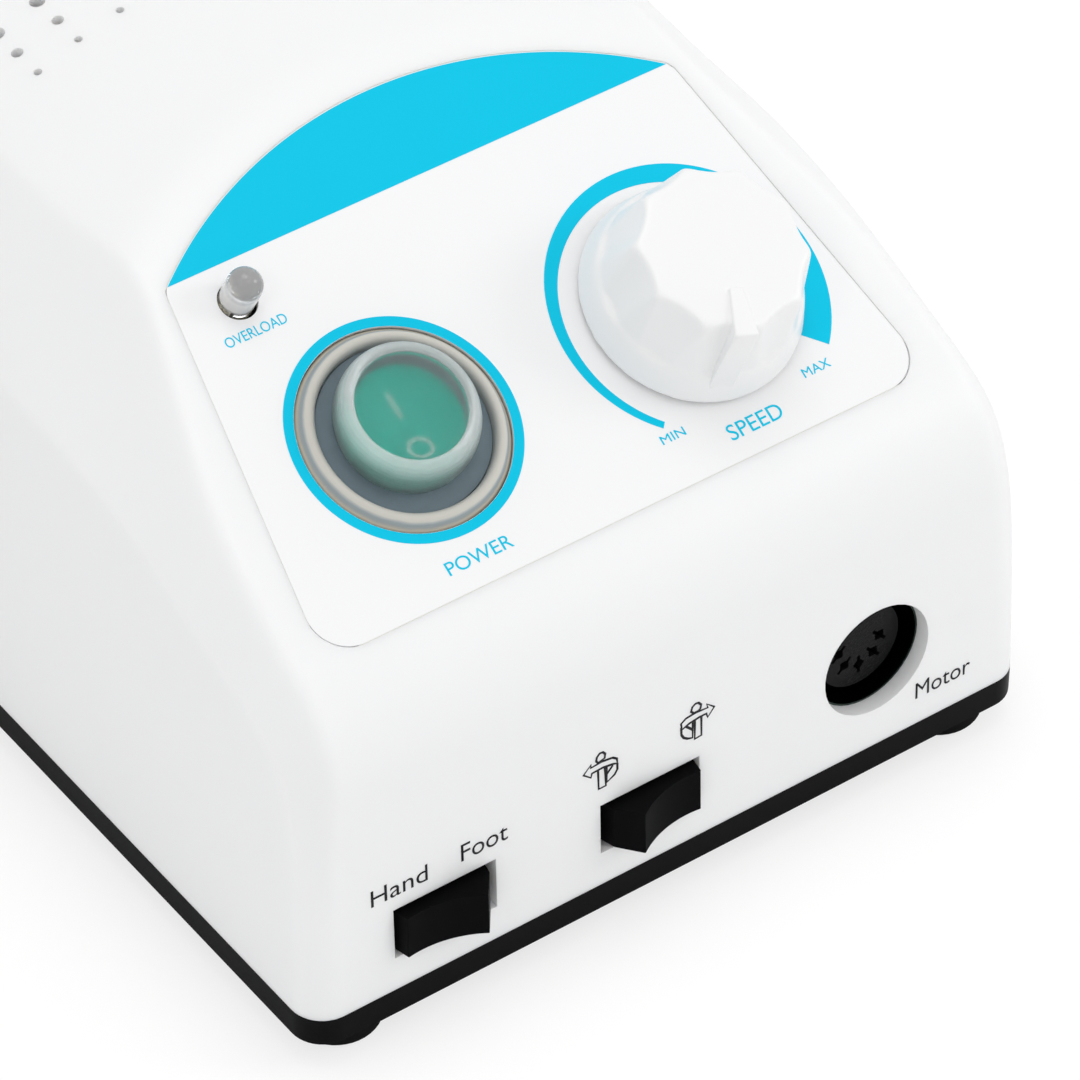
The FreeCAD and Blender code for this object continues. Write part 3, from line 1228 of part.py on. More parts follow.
def control_board():
    """Speed control board on four posts of the base, with its parts."""
    top = f"({FLOOR} + board_lift + board_thickness)"
    front = f"({FRONT} + board_front)"
    rear = f"({front} + board_length)"
    plain = block("board_plain", BOARD_WIDTH, "board_length", "board_thickness",
                  spot(0, f"{front} + board_length / 2", f"{FLOOR} + board_lift"))
    holes = []
    screws = []
    for number, (across, depth) in enumerate(board_screw_places()):
        holes.append(rod(f"board_hole_{number}", "small_screw_radius + hole_gap", "3 * board_thickness",
                         spot(across, depth, f"{FLOOR} + board_lift - board_thickness")))
        screws.append(pan_screw(f"board_screw_{number}", "small_screw_radius", "small_screw_length - 0.5",
                                "small_head_radius", "small_head_height", spot(across, depth, top)))
    keep(cut("control_board", plain, *holes), group("board_screws", *screws))

    sink_y = f"({rear} - sink_rear - sink_depth)"
    wall = block("sink_wall_plate", SINK_WIDTH, "sink_wall", "sink_height",
                 spot(0, f"{sink_y} + sink_wall / 2", top))
    fins = []
    for number in range(int(value("sink_fins"))):
        across = f"({SINK_WIDTH} - sink_fin) * ({number} / (sink_fins - 1) - 0.5)"
        fins.append(block(f"sink_fin_{number}", "sink_fin", "sink_depth", "sink_height",
                          spot(across, f"{sink_y} + sink_depth / 2", top)))
    keep(join("heat_sink", wall, *fins))

    transistors = []
    for side in (-1, 1):
        across = f"{side} * transistor_spacing / 2"
        face = f"({sink_y} - transistor_thickness / 2)"
        case = block(f"transistor_case_{side + 1}", "transistor_width", "transistor_thickness",
                     "transistor_height", spot(across, face, f"{top} + transistor_lift"))
        legs = [block(f"transistor_leg_{side + 1}_{leg + 1}", "lead_width", "lead_width",
                      "transistor_lift + 1",
                      spot(f"{across} + {leg} * lead_spacing", face, top)) for leg in (-1, 0, 1)]
        transistors.append(join(f"transistor_{side + 1}", case, *legs))
    keep(group("power_transistors", *transistors))

    cans = []
    for number in range(2):
        plain = rod(f"capacitor_{number}_plain", "capacitor_radius", "capacitor_height")
        can = soften(f"capacitor_{number}", plain, lambda edge: 1.0 if edge.BoundBox.ZMin > 1 else 0)
        place(can, spot(CAPACITOR_X, f"{front} + capacitor_front + {number} * capacitor_spacing", top))
        cans.append(can)
    keep(group("filter_capacitors", *cans))

    where = f"({sink_y} - transistor_thickness - rectifier_gap - rectifier_thickness / 2)"
    case = block("rectifier_case", "rectifier_width", "rectifier_thickness", "rectifier_height",
                 spot("rectifier_x", where, f"{top} + rectifier_lift"))
    legs = [block(f"rectifier_leg_{leg}", "lead_width", "lead_width", "rectifier_lift + 1",
                  spot(f"rectifier_x + ({leg} - 1.5) * 2 * lead_spacing", where, top))
             for leg in range(4)]
    keep(join("bridge_rectifier", case, *legs))
    relay = rounded_box("relay", "relay_width", "relay_length", "relay_height", 0.6,
                        spot(RELAY_X, f"{front} + relay_front", top))
    keep(relay)

    headers = []
    for number in range(int(value("header_count"))):
        across = header_place(number)
        shell = block(f"header_{number}_case", "header_width", "header_length", "header_height",
                      spot(across, f"{front} + header_front", top))
        well = block(f"header_{number}_well", "header_width - 2 * header_wall",
                     "header_length - 2 * header_wall",
                     "header_height", spot(across, f"{front} + header_front", f"{top} + header_wall"))
        headers.append(cut(f"header_{number}", shell, well))
    keep(group("board_connectors", *headers))


def header_place(number):
    return f"(({number} / (header_count - 1) - 0.5) * ({BOARD_WIDTH} - 2 * header_margin))"


def transformer():
    """Mains transformer: laminated core, bobbin, winding and steel frame screwed to the base."""
    where = (spot(0, CORE_MIDDLE, f"{FLOOR} + core_lift"),)
    window_height = "(core_height - core_leg)"
    stack = block("core_stack", "core_width", "core_thickness", "core_height")
    windows = []
    for side in (-1, 1):
        windows.append(block(f"core_window_{side + 1}", "core_window",
                             "2 * core_thickness", window_height,
                             spot(f"{side} * (core_leg + core_window) / 2", 0, "core_leg / 2")))
    keep(place_on(cut("transformer_core", stack, *windows), *where))
    tube_width = "(core_leg + 2 * bobbin_gap + 2 * bobbin_wall)"
    tube_depth = "(core_thickness + 2 * bobbin_gap + 2 * bobbin_wall)"
    height = f"({window_height} - 2 * bobbin_gap)"
    flange_width = "(core_leg + 2 * core_window - 2 * bobbin_gap)"
    flange_depth = "(core_thickness + 2 * bobbin_overhang)"
    low = "(core_leg / 2 + bobbin_gap)"
    tube = block("bobbin_tube", tube_width, tube_depth, height, spot(0, 0, low))
    ends = [block(f"bobbin_end_{k}", flange_width, flange_depth, "bobbin_wall",
                  spot(0, 0, f"{low} + {k} * ({height} - bobbin_wall)")) for k in (0, 1)]
    leg = block("bobbin_leg_space", "core_leg + 2 * bobbin_gap", "core_thickness + 2 * bobbin_gap",
                "core_height", spot(0, 0, "core_leg / 4"))
    keep(place_on(cut("transformer_bobbin", join("bobbin_blank", tube, *ends), leg), *where))
    coil = rounded_box("winding_coil", f"{flange_width} - 2 * winding_gap",
                       f"{flange_depth} - 2 * winding_gap",
                       f"{height} - 2 * bobbin_wall", value("winding_rounding"))
    eye = block("winding_eye", tube_width, tube_depth, height)
    winding = cut("transformer_winding", coil, eye)
    keep(place_on(winding, *where, spot(0, 0, f"{low} + bobbin_wall")))
    outer = block("frame_outer", "core_width + 2 * frame_thickness", "frame_depth",
                  "core_height + frame_thickness")
    inner = block("frame_inner", "core_width", "2 * frame_depth", "core_height", spot(0, 0, 0))
    tabs = [block(f"frame_tab_{side + 1}", "frame_tab", "frame_depth", "frame_thickness",
                  spot(f"{side} * (core_width / 2 + frame_tab / 2)")) for side in (-1, 1)]
    holes = [rod(f"frame_hole_{side + 1}", "screw_radius + hole_gap", "3 * frame_thickness",
                 spot(f"{side} * {FRAME_SCREW_X}", 0, "-frame_thickness")) for side in (-1, 1)]
    bracket = cut("transformer_frame", join("frame_blank", outer, *tabs), inner, *holes)
    keep(place_on(bracket, *where))
    screws = [pan_screw(f"frame_screw_{side + 1}", "screw_radius", "core_lift + frame_thickness",
                        "screw_head_radius", "screw_head_height",
                        spot(f"{side} * {FRAME_SCREW_X}", 0, "frame_thickness")) for side in (-1, 1)]
    keep(place_on(group("transformer_screws", *screws), *where))


def mains_inlet():
    """Three-pin mains inlet, held to the rear wall by two screws and nuts."""
    where = (REAR_FACE, spot(INLET_X, "rear_rise"))
    flange = rounded_box("inlet_flange", "inlet_flange_width", "inlet_flange_height",
                         "inlet_flange_thickness",
                         value("inlet_corner"))
    case = block("inlet_case", "inlet_width", "inlet_height", "inlet_depth", spot(0, 0, "-inlet_depth"))
    well = block("inlet_well", "inlet_well_width", "inlet_well_height", "inlet_well_depth + 1",
                 spot(0, 0, "inlet_flange_thickness - inlet_well_depth"))
    pins = []
    tip = "(inlet_flange_thickness - inlet_pin_recess)"
    for name, across, rise in (("live", "-inlet_pin_spacing / 2", "0"),
                               ("neutral", "inlet_pin_spacing / 2", "0"),
                               ("earth", "0", "inlet_earth_offset")):
        pin = block(f"inlet_{name}_blade", "inlet_pin_thickness", "inlet_pin_height",
                    f"inlet_depth + {tip}",
                    spot(across, rise, "-inlet_depth"))
        tail = block(f"inlet_{name}_tail", "inlet_tail_thickness", "inlet_tail_width", "inlet_tail",
                     spot(across, rise, "-inlet_depth - inlet_tail"))
        pins.append(join(f"inlet_{name}", pin, tail))
    holes = []
    screws = []
    nuts = []
    for side in (-1, 1):
        across = f"{side} * inlet_screw_spacing / 2"
        holes.append(rod(f"inlet_flange_hole_{side + 1}", "screw_radius + hole_gap",
                         "3 * inlet_flange_thickness",
                         spot(across, 0, "-inlet_flange_thickness")))
        screws.append(pan_screw(f"inlet_screw_{side + 1}", "screw_radius", "inlet_screw_length",
                                "screw_head_radius", "screw_head_height",
                                spot(across, 0, "inlet_flange_thickness")))
        nuts.append(cut(f"inlet_nut_{side + 1}",
                        hexagon(f"inlet_nut_hexagon_{side + 1}", "hex_nut_flats", "hex_nut_height",
                                spot(across, 0, "-wall_thickness - hex_nut_height")),
                        rod(f"inlet_nut_bore_{side + 1}", "screw_radius + screw_fit", "hex_nut_height",
                            spot(across, 0, "-wall_thickness - hex_nut_height"))))
    body = cut("mains_inlet_body", join("inlet_blank", flange, case), well, *holes, *pins)
    keep(place_on(body, *where), place_on(group("mains_inlet_pins", *pins), *where))
    keep(place_on(group("mains_inlet_screws", *screws), *where))
    keep(place_on(group("mains_inlet_nuts", *nuts), *where))


def fuse_holder():
    """Fuse holder in the rear wall: its cap turns in a bayonet and carries the glass fuse."""
    where = (REAR_FACE, spot(FUSE_X, "rear_rise"))
    tags = [
        block("fuse_end_tag", "blade_thickness", "blade_width", "fuse_tag_length + fuse_end_wall / 2",
              spot(0, 0, "-fuse_barrel_length - fuse_tag_length")),
        block("fuse_side_tag", "blade_width", "blade_thickness", "fuse_tag_length + 1",
              spot(0, "fuse_barrel - 1", "-fuse_side_tag_depth", (1, 0, 0), -90)),
    ]
    flange = rod("fuse_flange_disc", "fuse_flange", "fuse_flange_height")
    barrel = rod("fuse_barrel_rod", "fuse_barrel", "fuse_barrel_length",
                 spot(0, 0, "-fuse_barrel_length"))
    bore = rod("fuse_bore_rod", "fuse_bore", "fuse_barrel_length",
               spot(0, 0, "fuse_flange_height - fuse_barrel_length + fuse_end_wall"))
    body = cut("fuse_holder_body", join("fuse_blank", flange, barrel), bore, *tags)
    keep(place_on(body, *where), place_on(group("fuse_holder_tags", *tags), *where))
    nut = cut("fuse_holder_nut", hexagon("fuse_nut_hexagon", "fuse_nut_flats", "fuse_nut_height"),
              rod("fuse_nut_bore", "fuse_barrel + screw_fit", "fuse_nut_height"))
    keep(place_on(nut, *where, spot(0, 0, "-wall_thickness - fuse_nut_height")))
    seat = "(fuse_flange_height + fuse_cap_gap)"
    head = rod("fuse_cap_head", "fuse_cap_radius", f"fuse_cap_proud - {seat}", spot(0, 0, seat))
    stem = rod("fuse_cap_stem_rod", "fuse_bore - fuse_fit", f"{seat} + fuse_cap_stem",
               spot(0, 0, "-fuse_cap_stem"))
    grips = [rod(f"fuse_grip_{k}", "fuse_grip_radius", "fuse_cap_proud",
                 spot(0, 0, f"{seat} + 1", (0, 0, 1),
                      f"{k} * 360 / fuse_grip_count"), spot("fuse_cap_radius"))
             for k in range(int(value("fuse_grip_count")))]
    slot = block("fuse_cap_slot_cut", "fuse_cap_radius * 1.3", "fuse_cap_slot", 3,
                 spot(0, 0, "fuse_cap_proud - 1.5"))
    keep(place_on(cut("fuse_cap", join("fuse_cap_blank", head, stem), *grips, slot), *where))
    glass = rod("fuse_glass", "fuse_glass_radius", "fuse_length")
    ends = [rod(f"fuse_end_{k}", "fuse_radius", "fuse_end_length",
                spot(0, 0, f"{k} * (fuse_length - fuse_end_length)")) for k in (0, 1)]
    keep(place_on(join("glass_fuse", glass, *ends), *where, spot(0, 0, "-fuse_cap_stem - fuse_length")))


def pedal_jack():
    """Jack for the foot pedal's plug, nutted to the rear wall."""
    where = (REAR_FACE, spot(JACK_X, "rear_rise"))
    case = block("jack_case", "jack_body_width", "jack_body_height", "jack_depth - wall_thickness",
                 spot(0, 0, "-jack_depth"))
    bushing = rod("jack_bushing_rod", "jack_bushing", "wall_thickness + jack_proud",
                  spot(0, 0, "-wall_thickness"))
    bore = rod("jack_bore_rod", "jack_bore", "jack_depth + jack_proud - 2", spot(0, 0, "2 - jack_depth"))
    keep(place_on(cut("pedal_jack_body", join("jack_blank", case, bushing), bore), *where))
    nut = cut("pedal_jack_nut", hexagon("jack_nut_hexagon", "jack_nut_flats", "jack_nut_height"),
              rod("jack_nut_bore", "jack_bushing + screw_fit", "jack_nut_height"))
    keep(place_on(nut, *where))


def wire(name, bend, *stops):
    """Insulated wire through stops given as places: straight runs joined by arcs."""
    marks = []
    for number, where in enumerate(stops):
        mark = doc.addObject("Part::Vertex", f"{name}_stop_{number}")
        place(mark, *where)
        marks.append(mark)
    doc.recompute()
    points = [mark.Placement.Base for mark in marks]
    radius = value(bend)
    edges = []
    start = points[0]
    for before, turn, after in zip(points, points[1:], points[2:]):
        back = (before - turn).normalize()
        onward = (after - turn).normalize()
        half = back.getAngle(onward) / 2
        first = turn + back * (radius / math.tan(half))
        last = turn + onward * (radius / math.tan(half))
        centre = turn + (back + onward).normalize() * (radius / math.sin(half))
        top = centre + (turn - centre).normalize() * radius
        edges.append(Part.makeLine(start, first))
        edges.append(Part.Arc(first, top, last).toShape())
        start = last
    edges.append(Part.makeLine(start, points[-1]))
    section = Part.Wire(Part.makeCircle(value("wire_radius"), points[0], points[1] - points[0]))
    item = doc.addObject("Part::Feature", name)
    item.Shape = Part.Wire(edges).makePipeShell([section], True, False)
    return item


def header_end(number, step, height):
    """Place over the row of contacts in a board connector."""
    return (spot(f"{header_place(number)} + {step} * wire_pitch",
                 f"{FRONT} + board_front + header_front", height),)


def mains_leads():
    """Live through the fuse to the power switch, neutral to the winding, earth to the frame."""
    inlet = "inlet_depth + inlet_tail"
    tail = f"-({inlet})"
    turn = f"-({inlet} + wire_turn)"
    left = f"({INLET_X} - inlet_pin_spacing / 2)"
    right = f"({INLET_X} + inlet_pin_spacing / 2)"
    lane = f"-({WIRE_LANE} + wire_lane_step)"
    tag_top = "(rear_rise + fuse_barrel + fuse_tag_length)"
    winding_rear = f"({CORE_MIDDLE} + core_thickness / 2 + bobbin_overhang - winding_gap)"
    side_tag = "-fuse_side_tag_depth"
    tab_y = f"({CORE_MIDDLE} + frame_depth / 2 - 3)"
    tab_x = f"-({FRAME_SCREW_X} - 2.5)"
    keep(group(
        "mains_leads",
        wire("live_to_fuse", "wire_tight_bend",
             (REAR_FACE, spot(left, "rear_rise", tail)),
             (REAR_FACE, spot(left, "rear_rise", turn)),
             (REAR_FACE, spot(f"{FUSE_X} + blade_thickness / 2", "rear_rise", turn))),
        wire("fuse_to_switch", "wire_bend",
             (REAR_FACE, spot(FUSE_X, tag_top, side_tag)),
             (REAR_FACE, spot(FUSE_X, f"wire_high - {SEAM}", side_tag)),
             (spot(lane, f"{REAR} - fuse_side_tag_depth", "wire_high"),),
             (spot(lane, f"{FRONT} + wire_front", "wire_high"),),
             (PANEL, spot(lane, "power_up", f"{BLADE_END} - wire_drop")),
             (PANEL, spot(POWER_X, "power_up", f"{BLADE_END} - wire_drop")),
             (PANEL, spot(POWER_X, "power_up", BLADE_END))),
        wire("neutral_to_winding", "wire_tight_bend",
             (REAR_FACE, spot(right, "rear_rise", tail)),
             (REAR_FACE, spot(right, "rear_rise", turn)),
             (spot("-bobbin_overhang", f"{REAR} - ({inlet} + wire_turn)", "core_leg + wire_bend"),),
             (spot("-bobbin_overhang", winding_rear, "core_leg + wire_bend"),)),
        wire("earth_to_frame", "wire_tight_bend",
             (REAR_FACE, spot(INLET_X, "rear_rise + inlet_earth_offset", tail)),
             (REAR_FACE, spot(INLET_X, "rear_rise + inlet_earth_offset", turn)),
             (spot(tab_x, tab_y, "core_leg + 2 * wire_bend"),),
             (spot(tab_x, tab_y, f"{FLOOR} + core_lift + frame_thickness"),)),
    ))


def transformer_leads():
    """Primary lead from the power switch, and two secondary leads to the board."""
    winding_front = f"({CORE_MIDDLE} - core_thickness / 2 - bobbin_overhang + winding_gap)"
    front_gap = f"({BOARD_REAR} + (core_gap + winding_gap - sink_rear) / 2)"
    lower = "(power_up - blade_spacing)"
    seat = f"({FLOOR} + board_lift + board_thickness + header_wall)"
    header_y = f"({FRONT} + board_front + header_front)"
    wires = [
        wire("primary_lead", "wire_tight_bend",
             (PANEL, spot(POWER_X, lower, BLADE_END)),
             (PANEL, spot(POWER_X, lower, f"{BLADE_END} - wire_drop")),
             (PANEL, spot(f"-{WIRE_LANE}", lower, f"{BLADE_END} - wire_drop")),
             (spot(f"-{WIRE_LANE}", front_gap, "1.5 * core_leg"),),
             (spot("-bobbin_overhang", front_gap, "1.5 * core_leg"),),
             (spot("-bobbin_overhang", winding_front, "1.5 * core_leg"),)),
    ]
    for number, step in enumerate((-1, 1)):
        across = f"{header_place(3)} + {step} * wire_pitch / 2"
        wires.append(wire(
            f"secondary_lead_{number}", "wire_tight_bend",
            (spot(f"6 + 5 * {number}", winding_front, "2 * core_leg"),),
            (spot(f"6 + 5 * {number}", front_gap, "2 * core_leg"),),
            (spot(f"6 + 5 * {number}", front_gap, "wire_over"),),
            (spot(across, f"{front_gap} - wire_drop", "wire_over"),),
            (spot(across, f"{header_y} + wire_drop", "wire_over"),),
            (spot(across, header_y, "wire_over - wire_drop"),),
            (spot(across, header_y, seat),)))
    keep(group("transformer_leads", *wires))


def panel_leads():
    """Three leads of the potentiometer and two of the overload light."""
    seat = f"({FLOOR} + board_lift + board_thickness + header_wall)"
    tab_tip = "(speed_up - pot_radius - pot_tab_length - 0.5)"
    tab_depth = "(-wall_thickness - pot_depth / 2 + pot_tab_thickness / 2)"
    light_end = "(light_proud - light_length - light_lead_length)"
    wires = []
    for side in (-1, 0, 1):
        across = f"{SPEED_X} + {side} * 2 * pot_tab_width"
        wires.append(wire(
            f"speed_lead_{side + 1}", "wire_tight_bend",
            (PANEL, spot(across, tab_tip, tab_depth)),
            (PANEL, spot(across, f"{tab_tip} - wire_fall", tab_depth)),
            header_end(2, side, "wire_over - 1"),
            header_end(2, side, seat)))
    for side in (-1, 1):
        across = f"{LIGHT_X} + {side} * light_lead_gap"
        wires.append(wire(
            f"light_lead_wire_{side + 1}", "wire_bend",
            (PANEL, spot(across, "light_up", light_end)),
            (PANEL, spot(across, "light_up", f"{light_end} - wire_drop")),
            (spot(f"{header_place(1)} + wire_drop + {side} * wire_pitch / 2", f"{FRONT} + wire_front",
                  "wire_over + 3"),),
            header_end(1, f"({side} / 2)", "wire_arch"),
            header_end(1, f"({side} / 2)", seat)))
    keep(group("panel_leads", *wires))


def socket_and_switch_leads():
    """Three leads of the motor socket and three of the front switches, each rising in an arch."""
    seat = f"({FLOOR} + board_lift + board_thickness + header_wall)"
    socket_end = "-(wall_thickness + socket_depth + contact_tail)"
    wires = []
    for number, contact in enumerate((4, 2, 0)):
        turn = spot(angle=f"{-45 * contact}")
        pin = (FRONT_FACE, spot(SOCKET_X, "socket_rise"), turn, spot("contact_circle", 0, socket_end))
        out = (FRONT_FACE, spot(SOCKET_X, "socket_rise"), turn,
               spot("contact_circle", 0, f"{socket_end} - wire_drop / 2"))
        arch = f"wire_arch + {number} * wire_arch_step"
        across = f"{SOCKET_X} + contact_circle * cos({-45 * contact}deg)"
        behind = f"{FRONT} - ({socket_end}) + wire_drop / 2 + wire_radius"
        wires.append(wire(f"motor_lead_{number}", "wire_tight_bend", pin, out,
                          (spot(across, behind, arch),),
                          header_end(4, number - 1, arch), header_end(4, number - 1, seat)))
    keep(group("motor_leads", *wires))
    wires = []
    board_back = "(wall_thickness + switch_depth + switch_board_thickness)"
    for side in (-1, 0, 1):
        across = f"{HAND_FOOT_X} + switch_width / 4 + {side} * wire_pitch"
        rise = "switch_rise + switch_board_height / 4"
        wires.append(wire(
            f"switch_lead_{side + 1}", "wire_tight_bend",
            (FRONT_FACE, spot(across, rise, f"-{board_back}")),
            (FRONT_FACE, spot(across, rise, f"-{board_back} - wire_fall")),
            (spot(across, f"{FRONT} + {board_back} + wire_fall", "wire_arch"),),
            header_end(0, side, "wire_arch"), header_end(0, side, seat)))
    keep(group("switch_leads", *wires))


def save_parts():
    doc.recompute()
    faults = [item.Name for item in doc.Objects if {"Invalid", "Error"} & set(item.State)]
    for item in sub_parts:
        if item.Shape.isNull() or not item.Shape.isValid() or not item.Shape.Solids:
            faults.append(item.Label)
    if faults:
        raise RuntimeError(f"faulty objects: {faults}")
    os.makedirs("parts", exist_ok=True)
    for item in sub_parts:
        item.Shape.exportStep(f"parts/{item.Label}.step")
        print(item.Label, len(item.Shape.Solids), round(item.Shape.Volume, 1))


top_cover()
base_plate()
feet_and_cover_screws()
control_label()
overload_light()
power_switch()
speed_control()
front_switches()
motor_socket()
control_board()
transformer()
mains_inlet()
fuse_holder()
pedal_jack()
mains_leads()
transformer_leads()
panel_leads()
socket_and_switch_leads()
save_parts()
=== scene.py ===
import math
import bpy
from mathutils import Matrix, Vector


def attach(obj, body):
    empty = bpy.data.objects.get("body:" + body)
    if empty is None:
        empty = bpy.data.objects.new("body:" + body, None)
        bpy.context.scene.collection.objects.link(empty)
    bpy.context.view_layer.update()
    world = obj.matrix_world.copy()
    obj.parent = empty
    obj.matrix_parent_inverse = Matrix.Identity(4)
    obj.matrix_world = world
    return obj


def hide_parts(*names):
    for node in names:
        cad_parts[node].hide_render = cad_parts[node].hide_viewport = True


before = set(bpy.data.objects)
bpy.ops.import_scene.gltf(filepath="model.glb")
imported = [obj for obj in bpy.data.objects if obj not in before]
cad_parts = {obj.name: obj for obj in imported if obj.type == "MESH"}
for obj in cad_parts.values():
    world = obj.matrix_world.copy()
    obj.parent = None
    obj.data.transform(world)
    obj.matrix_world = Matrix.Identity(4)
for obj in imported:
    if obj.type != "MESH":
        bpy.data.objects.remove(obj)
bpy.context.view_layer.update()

bpy.ops.object.select_all(action="DESELECT")


# Studio: a pale floor, an even white room and three soft square lamps.
# The camera stands in front of the box, to its left, and looks down on the panel.

def shader_tree(name):
    """A new material, its nodes, its Principled shader and a function that joins two sockets."""
    material = bpy.data.materials.new(name)
    material.use_nodes = True
    nodes = material.node_tree.nodes
    shader = nodes["Principled BSDF"]

    def link(source, target):
        material.node_tree.links.new(source, target)

    return material, nodes, shader, link


def seen_straight(tree):
    """1 for what the camera sees, directly or through a clear piece, and 0 for all other light."""
    path = tree.nodes.new("ShaderNodeLightPath")
    either = tree.nodes.new("ShaderNodeMath")
    either.operation = "MAXIMUM"
    tree.links.new(path.outputs["Is Camera Ray"], either.inputs[0])
    tree.links.new(path.outputs["Is Transmission Ray"], either.inputs[1])
    return either.outputs["Value"]


# Where the camera stands, and its own right, up and back directions in the room.
camera_stand = (-0.39469, -0.60245, 0.64743)
right = Vector((0.80981939, -0.58663152, 0.00748471))
up = Vector((0.39050222, 0.54850471, 0.73935824))
back = Vector((-0.43783625, -0.59582384, 0.67327065))
bpy.ops.object.camera_add()
camera = bpy.context.object
camera.name = "camera"
turned_to = Matrix((right, up, back)).transposed().to_4x4()
camera.matrix_world = Matrix.Translation(camera_stand) @ turned_to
camera.data.sensor_width = 36.0
camera.data.lens = 222.93
camera.data.clip_start = 0.05
bpy.context.scene.camera = camera

bpy.ops.mesh.primitive_plane_add(size=30.0)
floor = bpy.context.object
floor.name = "floor"
floor_finish, nodes, shader, link = shader_tree("floor_paper")
shader.inputs["Base Color"].default_value = (0.93, 0.93, 0.93, 1.0)
shader.inputs["Roughness"].default_value = 0.9
shader.inputs["Specular IOR Level"].default_value = 0.1
pale = nodes.new("ShaderNodeBsdfDiffuse")
pale.inputs["Color"].default_value = (0.30, 0.30, 0.30, 1.0)
glow = nodes.new("ShaderNodeEmission")
glow.inputs["Strength"].default_value = 0.72
seen = nodes.new("ShaderNodeAddShader")
link(pale.outputs["BSDF"], seen.inputs[0])
link(glow.outputs["Emission"], seen.inputs[1])
swap = nodes.new("ShaderNodeMixShader")
link(seen_straight(floor_finish.node_tree), swap.inputs["Fac"])
link(shader.outputs["BSDF"], swap.inputs[1])
link(seen.outputs["Shader"], swap.inputs[2])
link(swap.outputs["Shader"], nodes["Material Output"].inputs["Surface"])
floor.data.materials.append(floor_finish)

world = bpy.data.worlds.new("white_room")
bpy.context.scene.world = world
world.use_nodes = True
room = world.node_tree
background = room.nodes["Background"]
background.inputs["Color"].default_value = (1.0, 1.0, 1.0, 1.0)
strength = room.nodes.new("ShaderNodeMapRange")
strength.inputs["To Min"].default_value = 0.85
strength.inputs["To Max"].default_value = 1.0
room.links.new(seen_straight(room), strength.inputs["Value"])
room.links.new(strength.outputs["Result"], background.inputs["Strength"])


def soft_lamp(name, place, aim, size, watts):
    """Square lamp that faces a point."""
    bpy.ops.object.light_add(type="AREA", location=place)
    lamp = bpy.context.object
    lamp.name = name
    lamp.data.shape = "RECTANGLE"
    lamp.data.size = size
    lamp.data.size_y = size
    lamp.data.energy = watts
    lamp.rotation_euler = (Vector(aim) - Vector(place)).to_track_quat("-Z", "Y").to_euler()


soft_lamp("lamp_above", place=(0.10, 0.05, 1.30), aim=(0.0, 0.0, 0.05), size=0.6, watts=2.2)
soft_lamp("lamp_right", place=(1.0, -0.75, 0.75), aim=(0.0, 0.0, 0.06), size=0.45, watts=2.2)
soft_lamp("lamp_left", place=(-0.85, -0.55, 0.95), aim=(0.0, -0.05, 0.07), size=0.12, watts=0.5)


# Top cover: one white ABS moulding with a satin skin and an even, very fine mould grain.
# It stands on the base plate and is held from below by four screws.

# Lengths are written in millimetres and MM makes metres of them. On the panel and on the front wall
# X runs to the right, Y up the face and Z out of it, from the middle of the foot of that face.
MM = 0.001
FACE_Y, PANEL_LOW_Z, FRONT_LOW_Z = -0.097804, 0.0548, 0.009
PANEL_SLOPE, FRONT_SLOPE = math.radians(27.6), math.radians(87.6)
PANEL_PLACE = Matrix.Translation((0.0, FACE_Y, PANEL_LOW_Z)) @ Matrix.Rotation(PANEL_SLOPE, 4, "X")
FRONT_PLACE = Matrix.Translation((0.0, FACE_Y, FRONT_LOW_Z)) @ Matrix.Rotation(FRONT_SLOPE, 4, "X")


def vary_tone_and_gloss(tree, noise, colour, darker, lighter, rough_low, rough_high):
    """Lets a noise pattern move the colour of a surface and its gloss a little."""
    _, nodes, shader, link = tree
    tone = nodes.new("ShaderNodeMix")
    tone.data_type = "RGBA"
    tone.inputs["A"].default_value = (*[channel * darker for channel in colour], 1.0)
    tone.inputs["B"].default_value = (*[min(1.0, channel * lighter) for channel in colour], 1.0)
    gloss = nodes.new("ShaderNodeMapRange")
    gloss.inputs["To Min"].default_value = rough_low
    gloss.inputs["To Max"].default_value = min(1.0, rough_high)
    link(noise.outputs["Fac"], tone.inputs["Factor"])
    link(tone.outputs["Result"], shader.inputs["Base Color"])
    link(noise.outputs["Fac"], gloss.inputs["Value"])
    link(gloss.outputs["Result"], shader.inputs["Roughness"])


def finish(name, colour, rough, spread=0.03, grain=1400.0, relief=0.01, patch=35.0, metal=0.0,
           shine=0.5):
    """Surface with faint patches of tone and gloss, and a fine grain with its relief in millimetres."""
    tree = material, nodes, shader, link = shader_tree(name)
    spot = nodes.new("ShaderNodeTexCoord")
    broad = nodes.new("ShaderNodeTexNoise")
    broad.inputs["Scale"].default_value = patch
    broad.inputs["Detail"].default_value = 3.0
    fine = nodes.new("ShaderNodeTexNoise")
    fine.inputs["Scale"].default_value = grain
    fine.inputs["Detail"].default_value = 2.0
    bump = nodes.new("ShaderNodeBump")
    bump.inputs["Strength"].default_value = 0.35
    bump.inputs["Distance"].default_value = relief * MM
    for noise in (broad, fine):
        link(spot.outputs["Object"], noise.inputs["Vector"])
    vary_tone_and_gloss(tree, broad, colour, 1.0 - spread, 1.0 + spread, rough * 0.88, rough * 1.12)
    link(fine.outputs["Fac"], bump.inputs["Height"])
    link(bump.outputs["Normal"], shader.inputs["Normal"])
    shader.inputs["Metallic"].default_value = metal
    shader.inputs["Specular IOR Level"].default_value = shine
    return material


def let_light_in(shader, weight, radius, scale):
    """Lets some light in under the skin of a plastic."""
    shader.inputs["Subsurface Weight"].default_value = weight
    shader.inputs["Subsurface Radius"].default_value = radius
    shader.inputs["Subsurface Scale"].default_value = scale


